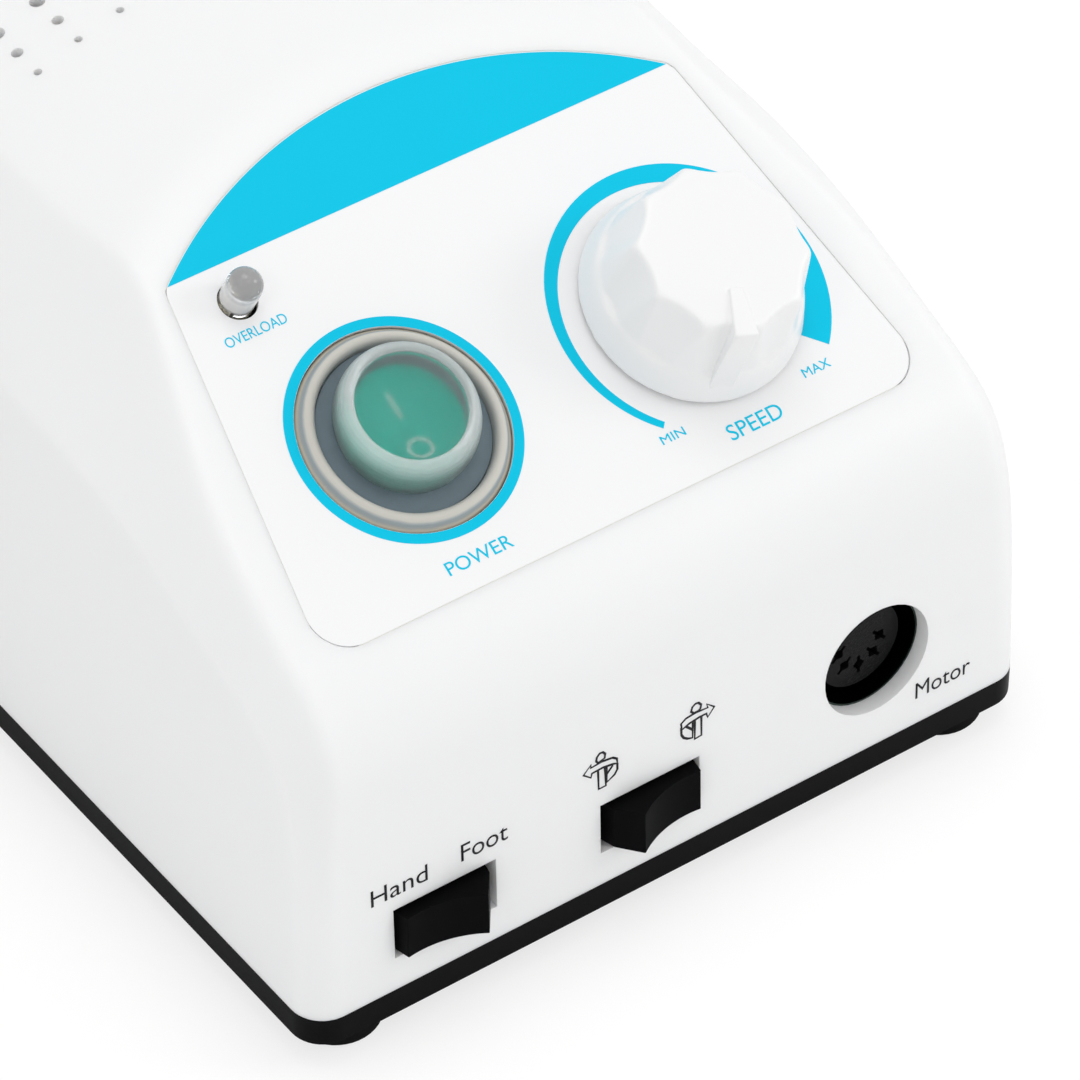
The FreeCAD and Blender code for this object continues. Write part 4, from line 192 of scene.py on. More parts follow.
def paint_nodes(material, *names):
    """Gives CAD nodes their finish in place of the plain one they came with."""
    for name in names:
        for material_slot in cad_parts[name].material_slots:
            material_slot.material = material


def smooth_copy(node, name, body, material, angle):
    """A copy of a CAD node with its facets merged and its curved faces shaded smooth."""
    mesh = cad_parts[node].data.copy()
    mesh.name = name
    piece = bpy.data.objects.new(name, mesh)
    bpy.context.scene.collection.objects.link(piece)
    bpy.ops.object.select_all(action="DESELECT")
    bpy.context.view_layer.objects.active = piece
    piece.select_set(True)
    bpy.ops.object.mode_set(mode="EDIT")
    bpy.ops.mesh.select_all(action="SELECT")
    bpy.ops.mesh.customdata_custom_splitnormals_clear()
    bpy.ops.mesh.remove_doubles(threshold=0.002 * MM)
    bpy.ops.mesh.select_all(action="DESELECT")
    bpy.ops.object.mode_set(mode="OBJECT")
    bpy.ops.object.shade_smooth_by_angle(angle=math.radians(angle))
    mesh.materials.clear()
    mesh.materials.append(material)
    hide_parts(node)
    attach(piece, body)
    return piece


white_abs = finish("white_abs", (0.885, 0.888, 0.890), 0.42, spread=0.006, grain=2600.0, relief=0.008)
abs_shader = white_abs.node_tree.nodes["Principled BSDF"]
let_light_in(abs_shader, weight=0.4, radius=(1.0, 0.95, 0.9), scale=2.4 * MM)
cover = smooth_copy("top_cover", "cover_moulding", "case", white_abs, angle=28.0)


# Base plate: black moulded ABS tray that closes the box, seen as a narrow band under the seam.
# The cover is screwed to it, and it carries the transformer and the board.

black_abs = finish("black_abs", (0.004, 0.004, 0.0045), 0.38, spread=0.10, grain=1700.0, relief=0.012,
                   shine=0.04)
tray = smooth_copy("base_plate", "base_tray", "case", black_abs, angle=30.0)


# Control label: printed plastic sheet glued in a shallow recess of the panel.
# The inks lie on it as films a few hundredths of a millimetre thick.

label_skin = finish("label_skin", (0.89, 0.892, 0.898), 0.33, spread=0.004, grain=3200.0, relief=0.004)
label = smooth_copy("control_label", "label_sheet", "case", label_skin, angle=30.0)

cyan_ink = finish("cyan_ink", (0.0, 0.55, 0.78), 0.34, spread=0.02, grain=3200.0, relief=0.004, shine=0.12)
INK_LOW = -0.1 * MM
INK_DEEP = 0.04 * MM


def print_film(name, place, low, deep, ink, body="case"):
    """Thickens the flat shape at hand into a film and lays it at its height over its place."""
    film = bpy.context.object
    film.name = name
    film.data.name = name
    bpy.ops.object.mode_set(mode="EDIT")
    bpy.ops.mesh.select_all(action="SELECT")
    bpy.ops.mesh.extrude_region_move(TRANSFORM_OT_translate={"value": (0.0, 0.0, deep)})
    bpy.ops.mesh.select_all(action="SELECT")
    bpy.ops.mesh.normals_make_consistent(inside=False)
    bpy.ops.object.mode_set(mode="OBJECT")
    settle(film, place @ Matrix.Translation((0.0, 0.0, low)), ink, body)


def settle(piece, place, material, body):
    """Puts a finished piece in its place on the box, with the place kept in its mesh."""
    piece.matrix_world = place @ piece.matrix_world
    bpy.ops.object.select_all(action="DESELECT")
    bpy.context.view_layer.objects.active = piece
    piece.select_set(True)
    bpy.ops.object.transform_apply(location=True, rotation=True, scale=True)
    piece.data.materials.clear()
    piece.data.materials.append(material)
    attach(piece, body)


def label_shape(radius, grow, low):
    """Flat outline of the label between its round top edge, its leaning sides and a straight line."""
    arch_middle, half_width, foot, side_lean = 14.4, 49.15, 13.1, 0.15
    bpy.ops.object.select_all(action="DESELECT")
    bpy.ops.mesh.primitive_circle_add(vertices=360, radius=radius * MM, fill_type="NGON",
                                      location=(0, arch_middle * MM, 0))
    bpy.ops.object.transform_apply(location=True, rotation=False, scale=False)
    bpy.ops.object.mode_set(mode="EDIT")
    for point, away in (((0.0, low, 0.0), (0.0, -1.0, 0.0)),
                        ((half_width + grow, foot, 0.0), (1.0, side_lean, 0.0)),
                        ((-half_width - grow, foot, 0.0), (-1.0, side_lean, 0.0))):
        bpy.ops.mesh.select_all(action="SELECT")
        bpy.ops.mesh.bisect(plane_co=Vector(point) * MM, plane_no=away, clear_outer=True, use_fill=False)


# Cyan band: the upper part of the label, above a straight line.
label_shape(radius=66.7, grow=-0.1, low=67.45)
bpy.ops.object.mode_set(mode="OBJECT")
print_film("label_band", PANEL_PLACE, INK_LOW, INK_DEEP, cyan_ink)

# Glue line: pale adhesive that fills the narrow gap round the label.
glue = finish("label_glue", (0.80, 0.80, 0.74), 0.5, spread=0.02)
label_shape(radius=66.94, grow=0.14, low=12.96)
bpy.ops.mesh.select_all(action="SELECT")
bpy.ops.mesh.inset(thickness=0.2 * MM, depth=0.0)
bpy.ops.mesh.delete(type="FACE")
bpy.ops.object.mode_set(mode="OBJECT")
print_film("label_glue_line", PANEL_PLACE, -0.5 * MM, 0.32 * MM, glue)


def flat_ring(outer, width, corners):
    """Flat ring: a disc with its rim set in and its middle taken out."""
    bpy.ops.object.select_all(action="DESELECT")
    bpy.ops.mesh.primitive_circle_add(vertices=corners, radius=outer * MM, fill_type="NGON")
    bpy.ops.object.mode_set(mode="EDIT")
    bpy.ops.mesh.select_all(action="SELECT")
    bpy.ops.mesh.inset(thickness=width * MM, depth=0.0)
    bpy.ops.mesh.delete(type="FACE")
    bpy.ops.object.mode_set(mode="OBJECT")


# Power ring: printed round the hole of the power switch.
POWER_PLACE = PANEL_PLACE @ Matrix.Translation((-22.1 * MM, 36.6 * MM, 0))
flat_ring(outer=16.30, width=1.42, corners=160)
print_film("label_power_ring", POWER_PLACE, INK_LOW, INK_DEEP, cyan_ink)

# Speed mark: an arc that grows from 1 mm wide at its slow end to 4 mm at its fast end.
# It is drawn from the slow end, one short step of the turn after the other.
speed_x, arc_t = 24.0, 36.34
arc_outer, slow_angle, fast_angle = 20.07 * MM, 227.0, -44.4
slow_width, fast_width = 1.0 * MM, 4.0 * MM
arc_steps = 90
arc_turn = math.radians(slow_angle - fast_angle) / arc_steps
bpy.ops.object.select_all(action="DESELECT")
bpy.ops.mesh.primitive_plane_add(size=1.0 * MM)
bpy.ops.object.mode_set(mode="EDIT")
bpy.ops.mesh.select_all(action="SELECT")
bpy.ops.mesh.merge(type="CENTER")
bpy.ops.transform.translate(value=(arc_outer, 0.0, 0.0))
bpy.ops.mesh.extrude_region_move(TRANSFORM_OT_translate={"value": (-slow_width, 0.0, 0.0)})
bpy.ops.mesh.select_all(action="SELECT")
for step in range(arc_steps):
    width = slow_width + (fast_width - slow_width) * step / arc_steps
    grow = 1.0 + (fast_width - slow_width) / arc_steps / width
    at = -arc_turn * (step + 1)
    rim_point = (arc_outer * math.cos(at), arc_outer * math.sin(at), 0.0)
    bpy.ops.mesh.extrude_region_move()
    bpy.ops.transform.rotate(value=arc_turn, orient_axis="Z", center_override=(0.0, 0.0, 0.0))
    bpy.ops.transform.resize(value=(grow, grow, 1.0), center_override=rim_point)
bpy.ops.object.mode_set(mode="OBJECT")
arc = bpy.context.object
arc.matrix_world = (Matrix.Translation((speed_x * MM, arc_t * MM, 0))
                    @ Matrix.Rotation(math.radians(slow_angle), 4, "Z"))
bpy.ops.object.transform_apply(location=True, rotation=True, scale=False)
print_film("label_speed_arc", PANEL_PLACE, INK_LOW, INK_DEEP, cyan_ink)


def word_film(name, text, place, left, end, base, tall, thin, low, ink):
    """One printed word, fitted between its two ends and to its height over its base line."""
    bpy.ops.object.select_all(action="DESELECT")
    bpy.ops.object.text_add()
    word = bpy.context.object
    word.data.body = text
    word.data.offset = thin
    word.data.resolution_u = 6
    bpy.ops.object.convert(target="MESH")
    word = bpy.context.object
    corners = [vertex.co for vertex in word.data.vertices]
    x_low, x_high = min(c.x for c in corners), max(c.x for c in corners)
    y_low, y_high = min(c.y for c in corners), max(c.y for c in corners)
    wide = (end - left) * MM / (x_high - x_low)
    high = tall * MM / (y_high - y_low)
    word.matrix_world = (Matrix.Translation((left * MM, base * MM, 0)) @ Matrix.Diagonal((wide, high, 1, 1))
                         @ Matrix.Translation((-x_low, -y_low, 0)))
    bpy.ops.object.transform_apply(location=True, rotation=True, scale=True)
    print_film(name, place, low, INK_DEEP, ink)


for name, text, left, end, base, tall in (
        ("word_overload", "OVERLOAD", -37.6, -28.1, 56.4, 1.48),
        ("word_power", "POWER", -27.6, -17.4, 16.1, 1.93),
        ("word_min", "MIN", 9.0, 12.8, 19.6, 1.25),
        ("word_max", "MAX", 32.5, 36.9, 19.5, 1.33),
        ("word_speed", "SPEED", 18.1, 26.8, 16.0, 2.27)):
    word_film(name, text, PANEL_PLACE, left, end, base, tall, thin=0.0, low=INK_LOW, ink=cyan_ink)


# Overload lamp: clear 5 mm lamp of cast epoxy, held by a snap ring under the panel.
# Two steel posts with a small reflector cup stand inside it.

def drawn_line(name, points, side=0.0):
    """Upright line of edges through (across, height) points in millimetres, left open for editing."""
    bpy.ops.object.select_all(action="DESELECT")
    bpy.ops.mesh.primitive_plane_add(size=1.0 * MM)
    piece = bpy.context.object
    piece.name = name
    piece.data.name = name
    bpy.ops.object.mode_set(mode="EDIT")
    bpy.ops.mesh.select_all(action="SELECT")
    bpy.ops.mesh.merge(type="CENTER")
    bpy.ops.transform.translate(value=(points[0][0] * MM, side, points[0][1] * MM))
    for (x_from, z_from), (x_to, z_to) in zip(points, points[1:]):
        step = ((x_to - x_from) * MM, 0.0, (z_to - z_from) * MM)
        bpy.ops.mesh.extrude_region_move(TRANSFORM_OT_translate={"value": step})
    bpy.ops.mesh.select_all(action="SELECT")
    return piece


def turned_piece(name, profile, steps, place, material, body):
    """Shape turned from a profile of (radius, height) points in millimetres."""
    piece = drawn_line(name, profile)
    bpy.ops.mesh.spin(steps=steps, dupli=False, angle=math.tau, center=(0, 0, 0), axis=(0, 0, 1))
    bpy.ops.mesh.select_all(action="SELECT")
    bpy.ops.mesh.remove_doubles(threshold=0.003 * MM)
    bpy.ops.mesh.normals_make_consistent(inside=False)
    bpy.ops.object.mode_set(mode="OBJECT")
    bpy.ops.object.shade_smooth_by_angle(angle=math.radians(32.0))
    settle(piece, place, material, body)
    return piece


def in_line_with(place, nodes, link):
    """Points of a pattern counted from a place on the panel, with Z along its axis."""
    spot = nodes.new("ShaderNodeTexCoord")
    upright = nodes.new("ShaderNodeMapping")
    upright.inputs["Location"].default_value = place.inverted().to_translation()
    upright.inputs["Rotation"].default_value = place.inverted().to_euler()
    link(spot.outputs["Object"], upright.inputs["Vector"])
    return spot, upright


def by_height(upright, nodes, link, low, high, at_low, at_high):
    """Value that changes evenly between two heights over the panel, given in millimetres."""
    height = nodes.new("ShaderNodeSeparateXYZ")
    graded = nodes.new("ShaderNodeMapRange")
    graded.inputs["From Min"].default_value = low * MM
    graded.inputs["From Max"].default_value = high * MM
    graded.inputs["To Min"].default_value = at_low
    graded.inputs["To Max"].default_value = at_high
    link(upright.outputs["Vector"], height.inputs["Vector"])
    link(height.outputs["Z"], graded.inputs["Value"])
    return graded.outputs["Result"]


def ramp_of(stops, nodes):
    """Colour ramp through stops, each a position with its red, green and blue."""
    tones = nodes.new("ShaderNodeValToRGB")
    ramp = tones.color_ramp
    for element, (position, colour) in zip(ramp.elements, (stops[0], stops[-1])):
        element.position, element.color = position, (*colour, 1.0)
    for position, colour in stops[1:-1]:
        ramp.elements.new(position).color = (*colour, 1.0)
    return tones


LIGHT_PLACE = PANEL_PLACE @ Matrix.Translation((-32.8 * MM, 62.1 * MM, 0))
epoxy, nodes, shader, link = shader_tree("clear_epoxy")
shader.inputs["Base Color"].default_value = (0.92, 0.92, 0.93, 1.0)
shader.inputs["IOR"].default_value = 1.5
let_light_in(shader, weight=0.3, radius=(1.0, 1.0, 1.0), scale=2.0 * MM)
spot, upright = in_line_with(LIGHT_PLACE, nodes, link)
cloud = nodes.new("ShaderNodeTexNoise")
cloud.inputs["Scale"].default_value = 500.0
soft = nodes.new("ShaderNodeMapRange")
soft.inputs["To Min"].default_value = 0.04
soft.inputs["To Max"].default_value = 0.12
link(spot.outputs["Object"], cloud.inputs["Vector"])
link(cloud.outputs["Fac"], soft.inputs["Value"])
link(soft.outputs["Result"], shader.inputs["Roughness"])

# The epoxy is clear at the foot of the lamp, milky round the chip and clearer again in the dome.
clearness = ramp_of([(position, (clear, clear, clear)) for position, clear in (
    (0.08, 1.0), (0.14, 0.95), (0.24, 0.45), (0.48, 0.38), (0.72, 0.66))], nodes)
share = by_height(upright, nodes, link, low=-1.0, high=7.0, at_low=0.0, at_high=1.0)
link(share, clearness.inputs["Fac"])
link(clearness.outputs["Color"], shader.inputs["Transmission Weight"])

lamp_r, dome_z, dome_steps = 2.5, 4.1, 18
lamp_profile = [(0.0, -2.0), (lamp_r, -2.0), (lamp_r, -1.0)]
for number in range(dome_steps + 1):
    turn = math.radians(90.0 * number / dome_steps)
    lamp_profile.append((lamp_r * math.cos(turn), dome_z + lamp_r * math.sin(turn)))
lamp = turned_piece("lamp_dome", lamp_profile, 64, LIGHT_PLACE, epoxy, "case")
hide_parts("overload_light")

# Cup and post: the two ends of the steel leads inside the epoxy.
lead_steel = finish("lead_steel", (0.46, 0.43, 0.32), 0.38, spread=0.08, grain=900.0, metal=1.0)
cup_profile = [
    (0.0, -0.6), (0.3, -0.5), (0.5, -0.2), (0.58, -0.2), (0.56, -0.6), (0.3, -1.0), (0.3, -1.9), (0.0, -1.9)]
cup_place = LIGHT_PLACE @ Matrix.Translation((0.9 * MM, 0.9 * MM, 0))
turned_piece("lamp_cup", cup_profile, 28, cup_place, lead_steel, "case")
post_profile = [(0.0, 0.25), (0.38, 0.2), (0.4, 0.1), (0.22, -0.25), (0.2, -0.6), (0.2, -1.9), (0.0, -1.9)]
post_place = LIGHT_PLACE @ Matrix.Translation((-0.9 * MM, -0.9 * MM, 0))
turned_piece("lamp_post", post_profile, 20, post_place, lead_steel, "case")
paint_nodes(lead_steel, "overload_light_leads")
paint_nodes(black_abs, "overload_light_clip")


# Power switch: green rocker in a round slate-grey body, under a clear silicone boot.
# The boot is cast in one with the wide bead that seals the hole of the panel. It leans a little.

slate = finish("switch_slate", (0.15, 0.20, 0.23), 0.50, spread=0.10, grain=700.0, relief=0.02,
               patch=420.0, shine=0.3)
paint_nodes(slate, "power_switch_body")
paint_nodes(black_abs, "power_switch_nut")


def silicone(name, colour, clear, rough_low, rough_high, ripple_scale, ripple_deep, shine=0.4):
    """Cast silicone with dust on it and fine ripples round the axis of the switch."""
    tree = material, nodes, shader, link = shader_tree(name)
    shader.inputs["IOR"].default_value = 1.41
    shader.inputs["Transmission Weight"].default_value = clear
    shader.inputs["Specular IOR Level"].default_value = shine
    let_light_in(shader, weight=0.15, radius=(1.0, 1.0, 1.0), scale=0.6 * MM)
    spot, upright = in_line_with(POWER_PLACE, nodes, link)
    dust = nodes.new("ShaderNodeTexNoise")
    dust.inputs["Scale"].default_value = 420.0
    dust.inputs["Detail"].default_value = 6.0
    wave = nodes.new("ShaderNodeTexWave")
    wave.bands_direction = "Z"
    wave.inputs["Scale"].default_value = ripple_scale
    wave.inputs["Distortion"].default_value = 3.0
    ripple = nodes.new("ShaderNodeBump")
    ripple.inputs["Strength"].default_value = 0.5
    ripple.inputs["Distance"].default_value = ripple_deep * MM
    link(spot.outputs["Object"], dust.inputs["Vector"])
    link(upright.outputs["Vector"], wave.inputs["Vector"])
    vary_tone_and_gloss(tree, dust, colour, 0.90, 1.06, rough_low, rough_high)
    link(wave.outputs["Fac"], ripple.inputs["Height"])
    link(ripple.outputs["Normal"], shader.inputs["Normal"])
    return material, nodes, shader, link, upright


# Bead: beige on its crest, grey-blue down its outer slope, and painted shade darkening the groove behind it.
# The tones follow the distance from the axis in millimetres, blurred a little by a noise.
bead_beige, nodes, shader, link, upright = silicone(
    "bead_silicone", (0.60, 0.585, 0.53), clear=0.0, rough_low=0.35, rough_high=0.60,
    ripple_scale=300.0, ripple_deep=0.04)
flat = nodes.new("ShaderNodeVectorMath")
flat.operation = "MULTIPLY"
flat.inputs[1].default_value = (1.0 / MM, 1.0 / MM, 0.0)
reach = nodes.new("ShaderNodeVectorMath")
reach.operation = "LENGTH"
blur = nodes.new("ShaderNodeTexNoise")
blur.inputs["Scale"].default_value = 300.0
wander = nodes.new("ShaderNodeMath")
wander.operation = "MULTIPLY_ADD"
wander.inputs[1].default_value = 0.24
across = nodes.new("ShaderNodeMapRange")
across.inputs["From Min"].default_value = 12.12
across.inputs["From Max"].default_value = 15.12
# The last and darkest stop is painted shade in the groove between the bead and the recess wall, not a colour
# of the silicone.
tones = ramp_of((
    (0.05, (0.40, 0.41, 0.40)), (0.22, (0.55, 0.54, 0.50)), (0.54, (0.60, 0.585, 0.53)),
    (0.64, (0.34, 0.37, 0.385)), (0.72, (0.36, 0.38, 0.375)), (0.80, (0.54, 0.50, 0.41)),
    (0.93, (0.22, 0.21, 0.165))), nodes)
link(upright.outputs["Vector"], flat.inputs[0])
link(upright.outputs["Vector"], blur.inputs["Vector"])
link(flat.outputs["Vector"], reach.inputs[0])
link(blur.outputs["Fac"], wander.inputs[0])
link(reach.outputs["Value"], wander.inputs[2])
link(wander.outputs["Value"], across.inputs["Value"])
link(across.outputs["Result"], tones.inputs["Fac"])
link(tones.outputs["Color"], shader.inputs["Base Color"])
bead_profile = [
    (12.1, -1.48), (14.82, -1.48), (14.84, -0.9), (14.75, -0.62), (14.5, -0.4), (14.25, -0.1),
    (14.0, 0.35), (13.75, 0.78), (13.45, 1.08), (13.1, 1.2), (12.75, 1.15), (12.45, 0.95), (12.25, 0.6),
    (12.14, 0.1), (12.1, -1.48)]
bead = turned_piece("boot_bead", bead_profile, 120, POWER_PLACE, bead_beige, "case")
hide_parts("power_switch_boot")

# Wall of the boot, drawn up ring by ring from its foot, over its rim and down its inner side.
# Each ring has its radius, its height and how far the lean takes it up the panel.
wall_milky, nodes, shader, link, upright = silicone(
    "boot_wall_silicone", (0.86, 0.92, 0.91), clear=0.8, rough_low=0.24, rough_high=0.40,
    ripple_scale=620.0, ripple_deep=0.12)
clearness = by_height(upright, nodes, link, low=3.2, high=5.7, at_low=0.90, at_high=0.55)
link(clearness, shader.inputs["Transmission Weight"])
boot_x = 0.1
wall_rings = [
    (9.40, -0.28, 0.30), (9.55, 0.1, 0.33), (9.76, 0.8, 0.45), (9.90, 1.6, 0.56), (9.96, 2.3, 0.66),
    (9.92, 3.1, 0.74), (9.80, 3.9, 0.82), (9.58, 4.6, 0.90), (9.25, 5.2, 0.97), (8.85, 5.6, 1.02),
    (8.45, 5.78, 1.04), (8.1, 5.74, 1.04), (7.85, 5.52, 1.02), (7.72, 5.2, 1.00), (7.72, 4.42, 0.96),
    (8.1, 4.3, 0.94), (8.7, 3.7, 0.86), (9.3, 2.7, 0.70), (9.48, 1.6, 0.56), (9.40, 0.8, 0.45),
    (9.15, 0.1, 0.33), (8.98, -0.28, 0.30)]
bpy.ops.object.select_all(action="DESELECT")
foot_r, foot_z, foot_shift = wall_rings[0]
bpy.ops.mesh.primitive_circle_add(vertices=128, radius=foot_r * MM,
                                  location=(boot_x * MM, foot_shift * MM, foot_z * MM))
wall = bpy.context.object
wall.name = "boot_wall"
bpy.ops.object.transform_apply(location=True, rotation=False, scale=False)
bpy.ops.object.mode_set(mode="EDIT")
bpy.ops.mesh.select_all(action="SELECT")
for (r_from, z_from, shift_from), (r_to, z_to, shift_to) in zip(wall_rings, wall_rings[1:]):
    bpy.ops.mesh.extrude_region_move(
        TRANSFORM_OT_translate={"value": (0.0, (shift_to - shift_from) * MM, (z_to - z_from) * MM)})
    grow = r_to / r_from
    bpy.ops.transform.resize(value=(grow, grow, 1.0),
                             center_override=(boot_x * MM, shift_to * MM, z_to * MM))
bpy.ops.mesh.select_all(action="DESELECT")
bpy.ops.mesh.select_non_manifold()
bpy.ops.mesh.bridge_edge_loops()
bpy.ops.mesh.select_all(action="SELECT")
bpy.ops.mesh.normals_make_consistent(inside=False)
bpy.ops.object.mode_set(mode="OBJECT")
bpy.ops.object.shade_smooth_by_angle(angle=math.radians(40.0))
settle(wall, POWER_PLACE, wall_milky, "case")
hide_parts("power_switch_boot")

# Window: the clear disc that closes the boot over the rocker, cast in one with the wall.
window_clear = silicone(
    "boot_window_silicone", (0.97, 0.985, 0.98), clear=1.0, rough_low=0.26, rough_high=0.42,
    ripple_scale=180.0, ripple_deep=0.01, shine=0.2)[0]
window_profile = [
    (0.0, 4.5), (5.0, 4.48), (7.7, 4.42), (7.7, 5.2), (7.3, 5.08), (6.6, 5.02), (3.5, 5.0), (0.0, 5.0)]
window_place = POWER_PLACE @ Matrix.Translation((boot_x * MM, 0.98 * MM, 0))
window = turned_piece("boot_window", window_profile, 96, window_place, window_clear, "case")
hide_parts("power_switch_boot")

# Rocker: green moulding whose two faces rise from a crease in the middle, with a printed mark on each.
# It turns on two pins a little under the panel and rests with its upper side pressed.
green = finish("rocker_green", (0.0, 0.50, 0.38), 0.38, spread=0.10, grain=900.0, relief=0.03, shine=0.25)
rocker = smooth_copy("power_switch_rocker", "rocker_moulding", "power_rocker", green, angle=30.0)
mark_white = finish("mark_white", (0.42, 0.66, 0.58), 0.5, spread=0.03)
mark_deep = 0.06 * MM
face_slope, pressed, pivot_z, crease_z = math.radians(8.0), math.radians(-8.0), -1.6 * MM, 3.0 * MM
CREASE_PLACE = (POWER_PLACE @ Matrix.Translation((0, 0, pivot_z)) @ Matrix.Rotation(pressed, 4, "X")
                @ Matrix.Translation((0, 0, crease_z)))
UPPER_FACE = CREASE_PLACE @ Matrix.Rotation(face_slope, 4, "X")
LOWER_FACE = CREASE_PLACE @ Matrix.Rotation(-face_slope, 4, "X")
bar_wide, bar_long, bar_round = 0.55 * MM, 4.0 * MM, 0.25 * MM
bpy.ops.object.select_all(action="DESELECT")
bpy.ops.mesh.primitive_plane_add(size=1.0)
bpy.ops.transform.resize(value=(bar_wide, bar_long, 1.0))
bpy.ops.object.transform_apply(location=False, rotation=False, scale=True)
bpy.ops.object.mode_set(mode="EDIT")
bpy.ops.mesh.select_all(action="SELECT")
bpy.ops.mesh.bevel(offset=bar_round, segments=4, affect="VERTICES")
bpy.ops.object.mode_set(mode="OBJECT")
bar_place = UPPER_FACE @ Matrix.Translation((-0.3 * MM, 2.6 * MM, 0))
print_film("mark_on", bar_place, 0.0, mark_deep, mark_white, "power_rocker")
flat_ring(outer=1.85, width=0.5, corners=56)
circle_place = LOWER_FACE @ Matrix.Translation((-0.9 * MM, -4.7 * MM, 0))
print_film("mark_off", circle_place, 0.0, mark_deep, mark_white, "power_rocker")


# Speed knob: white moulded knob with a flared skirt, ten shallow scallops round its top
# and a raised pointer fin. It is pressed on the shaft of the potentiometer.

knob_t = 36.3
SPEED_PLACE = PANEL_PLACE @ Matrix.Translation((speed_x * MM, knob_t * MM, 0))
knob_white = finish("knob_white", (0.885, 0.886, 0.888), 0.34, spread=0.006, grain=1800.0, relief=0.006)
knob = smooth_copy("speed_knob", "knob_moulding", "speed_control", knob_white, angle=34.0)

# The flared skirt is laid round the foot of the knob, and one even mesh then melts the two together.
skirt_profile = [
    (15.7, 0.4), (15.7, 1.3), (14.9, 4.1), (14.4, 5.6), (13.3, 5.6), (13.6, 1.5), (13.6, 0.4), (15.7, 0.4)]
skirt = turned_piece("knob_skirt", skirt_profile, 180, SPEED_PLACE, knob_white, "speed_control")
bpy.ops.object.select_all(action="DESELECT")
skirt.select_set(True)
knob.select_set(True)
bpy.context.view_layer.objects.active = knob
bpy.ops.object.join()
even = knob.modifiers.new("even_mesh", "REMESH")
even.mode = "VOXEL"
even.voxel_size = 0.26 * MM
bpy.ops.object.modifier_apply(modifier=even.name)
soft_edges = knob.modifiers.new("soft_edges", "SMOOTH")
soft_edges.factor = 0.5
soft_edges.iterations = 24
bpy.ops.object.modifier_apply(modifier=soft_edges.name)
bpy.ops.object.shade_smooth()

# The fin is drawn from the side, thickened, narrowed towards the middle of the knob and rounded.
fin_line = [(6.2, 14.6), (6.2, 16.4), (13.3, 16.45), (14.95, 3.5), (13.9, 3.5), (11.9, 13.4), (11.2, 14.6)]
fin_block, tip_half, fin_taper, fin_round = 5.0 * MM, 0.95 * MM, 0.106, 0.32 * MM
fin = drawn_line("knob_pointer", fin_line, -fin_block / 2)
bpy.ops.mesh.edge_face_add()
bpy.ops.mesh.extrude_region_move(TRANSFORM_OT_translate={"value": (0.0, fin_block, 0.0)})
for side in (-1.0, 1.0):
    bpy.ops.mesh.select_all(action="SELECT")
    bpy.ops.mesh.bisect(plane_co=(fin_line[0][0] * MM, side * tip_half, 0.0),
                        plane_no=(-fin_taper, side, 0.0), clear_outer=True, use_fill=True)
bpy.ops.mesh.select_all(action="SELECT")
bpy.ops.mesh.normals_make_consistent(inside=False)
bpy.ops.mesh.bevel(offset=fin_round, segments=4, affect="EDGES")
bpy.ops.object.mode_set(mode="OBJECT")
bpy.ops.object.shade_smooth_by_angle(angle=math.radians(40.0))
fin_turn = math.radians(249.6)
settle(fin, SPEED_PLACE @ Matrix.Rotation(fin_turn, 4, "Z"), knob_white, "speed_control")
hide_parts("speed_knob")


# Hand or foot switch and direction switch: black rockers in two windows of the front wall.
# Each is a satin moulding with a dished face, clipped on the pins of its body behind the wall.

rocker_black = finish("rocker_black", (0.0035, 0.0035, 0.004), 0.44, spread=0.12, grain=1500.0,
                      relief=0.02, shine=0.02)
for node in ("hand_foot_rocker", "direction_rocker"):
    lever = smooth_copy(node, node.replace("rocker", "lever"), node, rocker_black, angle=14.0)
paint_nodes(black_abs, "hand_foot_switch_body", "direction_switch_body")

# Words and signs over the front controls, printed on the wall in near-black ink.
grey_ink = finish("grey_ink", (0.012, 0.012, 0.015), 0.4, spread=0.05, shine=0.15)
for name, text, left, end, base, tall in (
        ("word_hand", "Hand", -50.0, -41.0, 16.65, 2.85),
        ("word_foot", "Foot", -35.6, -28.1, 16.8, 2.95),
        ("word_motor", "Motor", 40.5, 50.0, 4.5, 2.8)):
    word_film(name, text, FRONT_PLACE, left, end, base, tall, thin=-0.004, low=0.0, ink=grey_ink)


def drawn_mark(name, strokes):
    """Line drawing on the front wall, from strokes given as (across, height) points."""
    half_line, flattened = 0.20 * MM, 0.25
    bpy.ops.object.select_all(action="DESELECT")
    curve = bpy.data.curves.new(name, "CURVE")
    curve.dimensions = "3D"
    curve.bevel_depth = half_line
    curve.bevel_resolution = 2
    for closed, points in strokes:
        line = curve.splines.new("POLY")
        line.points.add(len(points) - 1)
        line.use_cyclic_u = closed
        for point, (across, height) in zip(line.points, points):
            point.co = (across * MM, height * MM, 0.0, 1.0)
    mark = bpy.data.objects.new(name, curve)
    bpy.context.scene.collection.objects.link(mark)
    bpy.context.view_layer.objects.active = mark
    mark.select_set(True)
    bpy.ops.object.convert(target="MESH")
    mark = bpy.context.object
    mark.matrix_world = Matrix.Diagonal((1.0, 1.0, flattened, 1.0))
    settle(mark, FRONT_PLACE, grey_ink, "case")


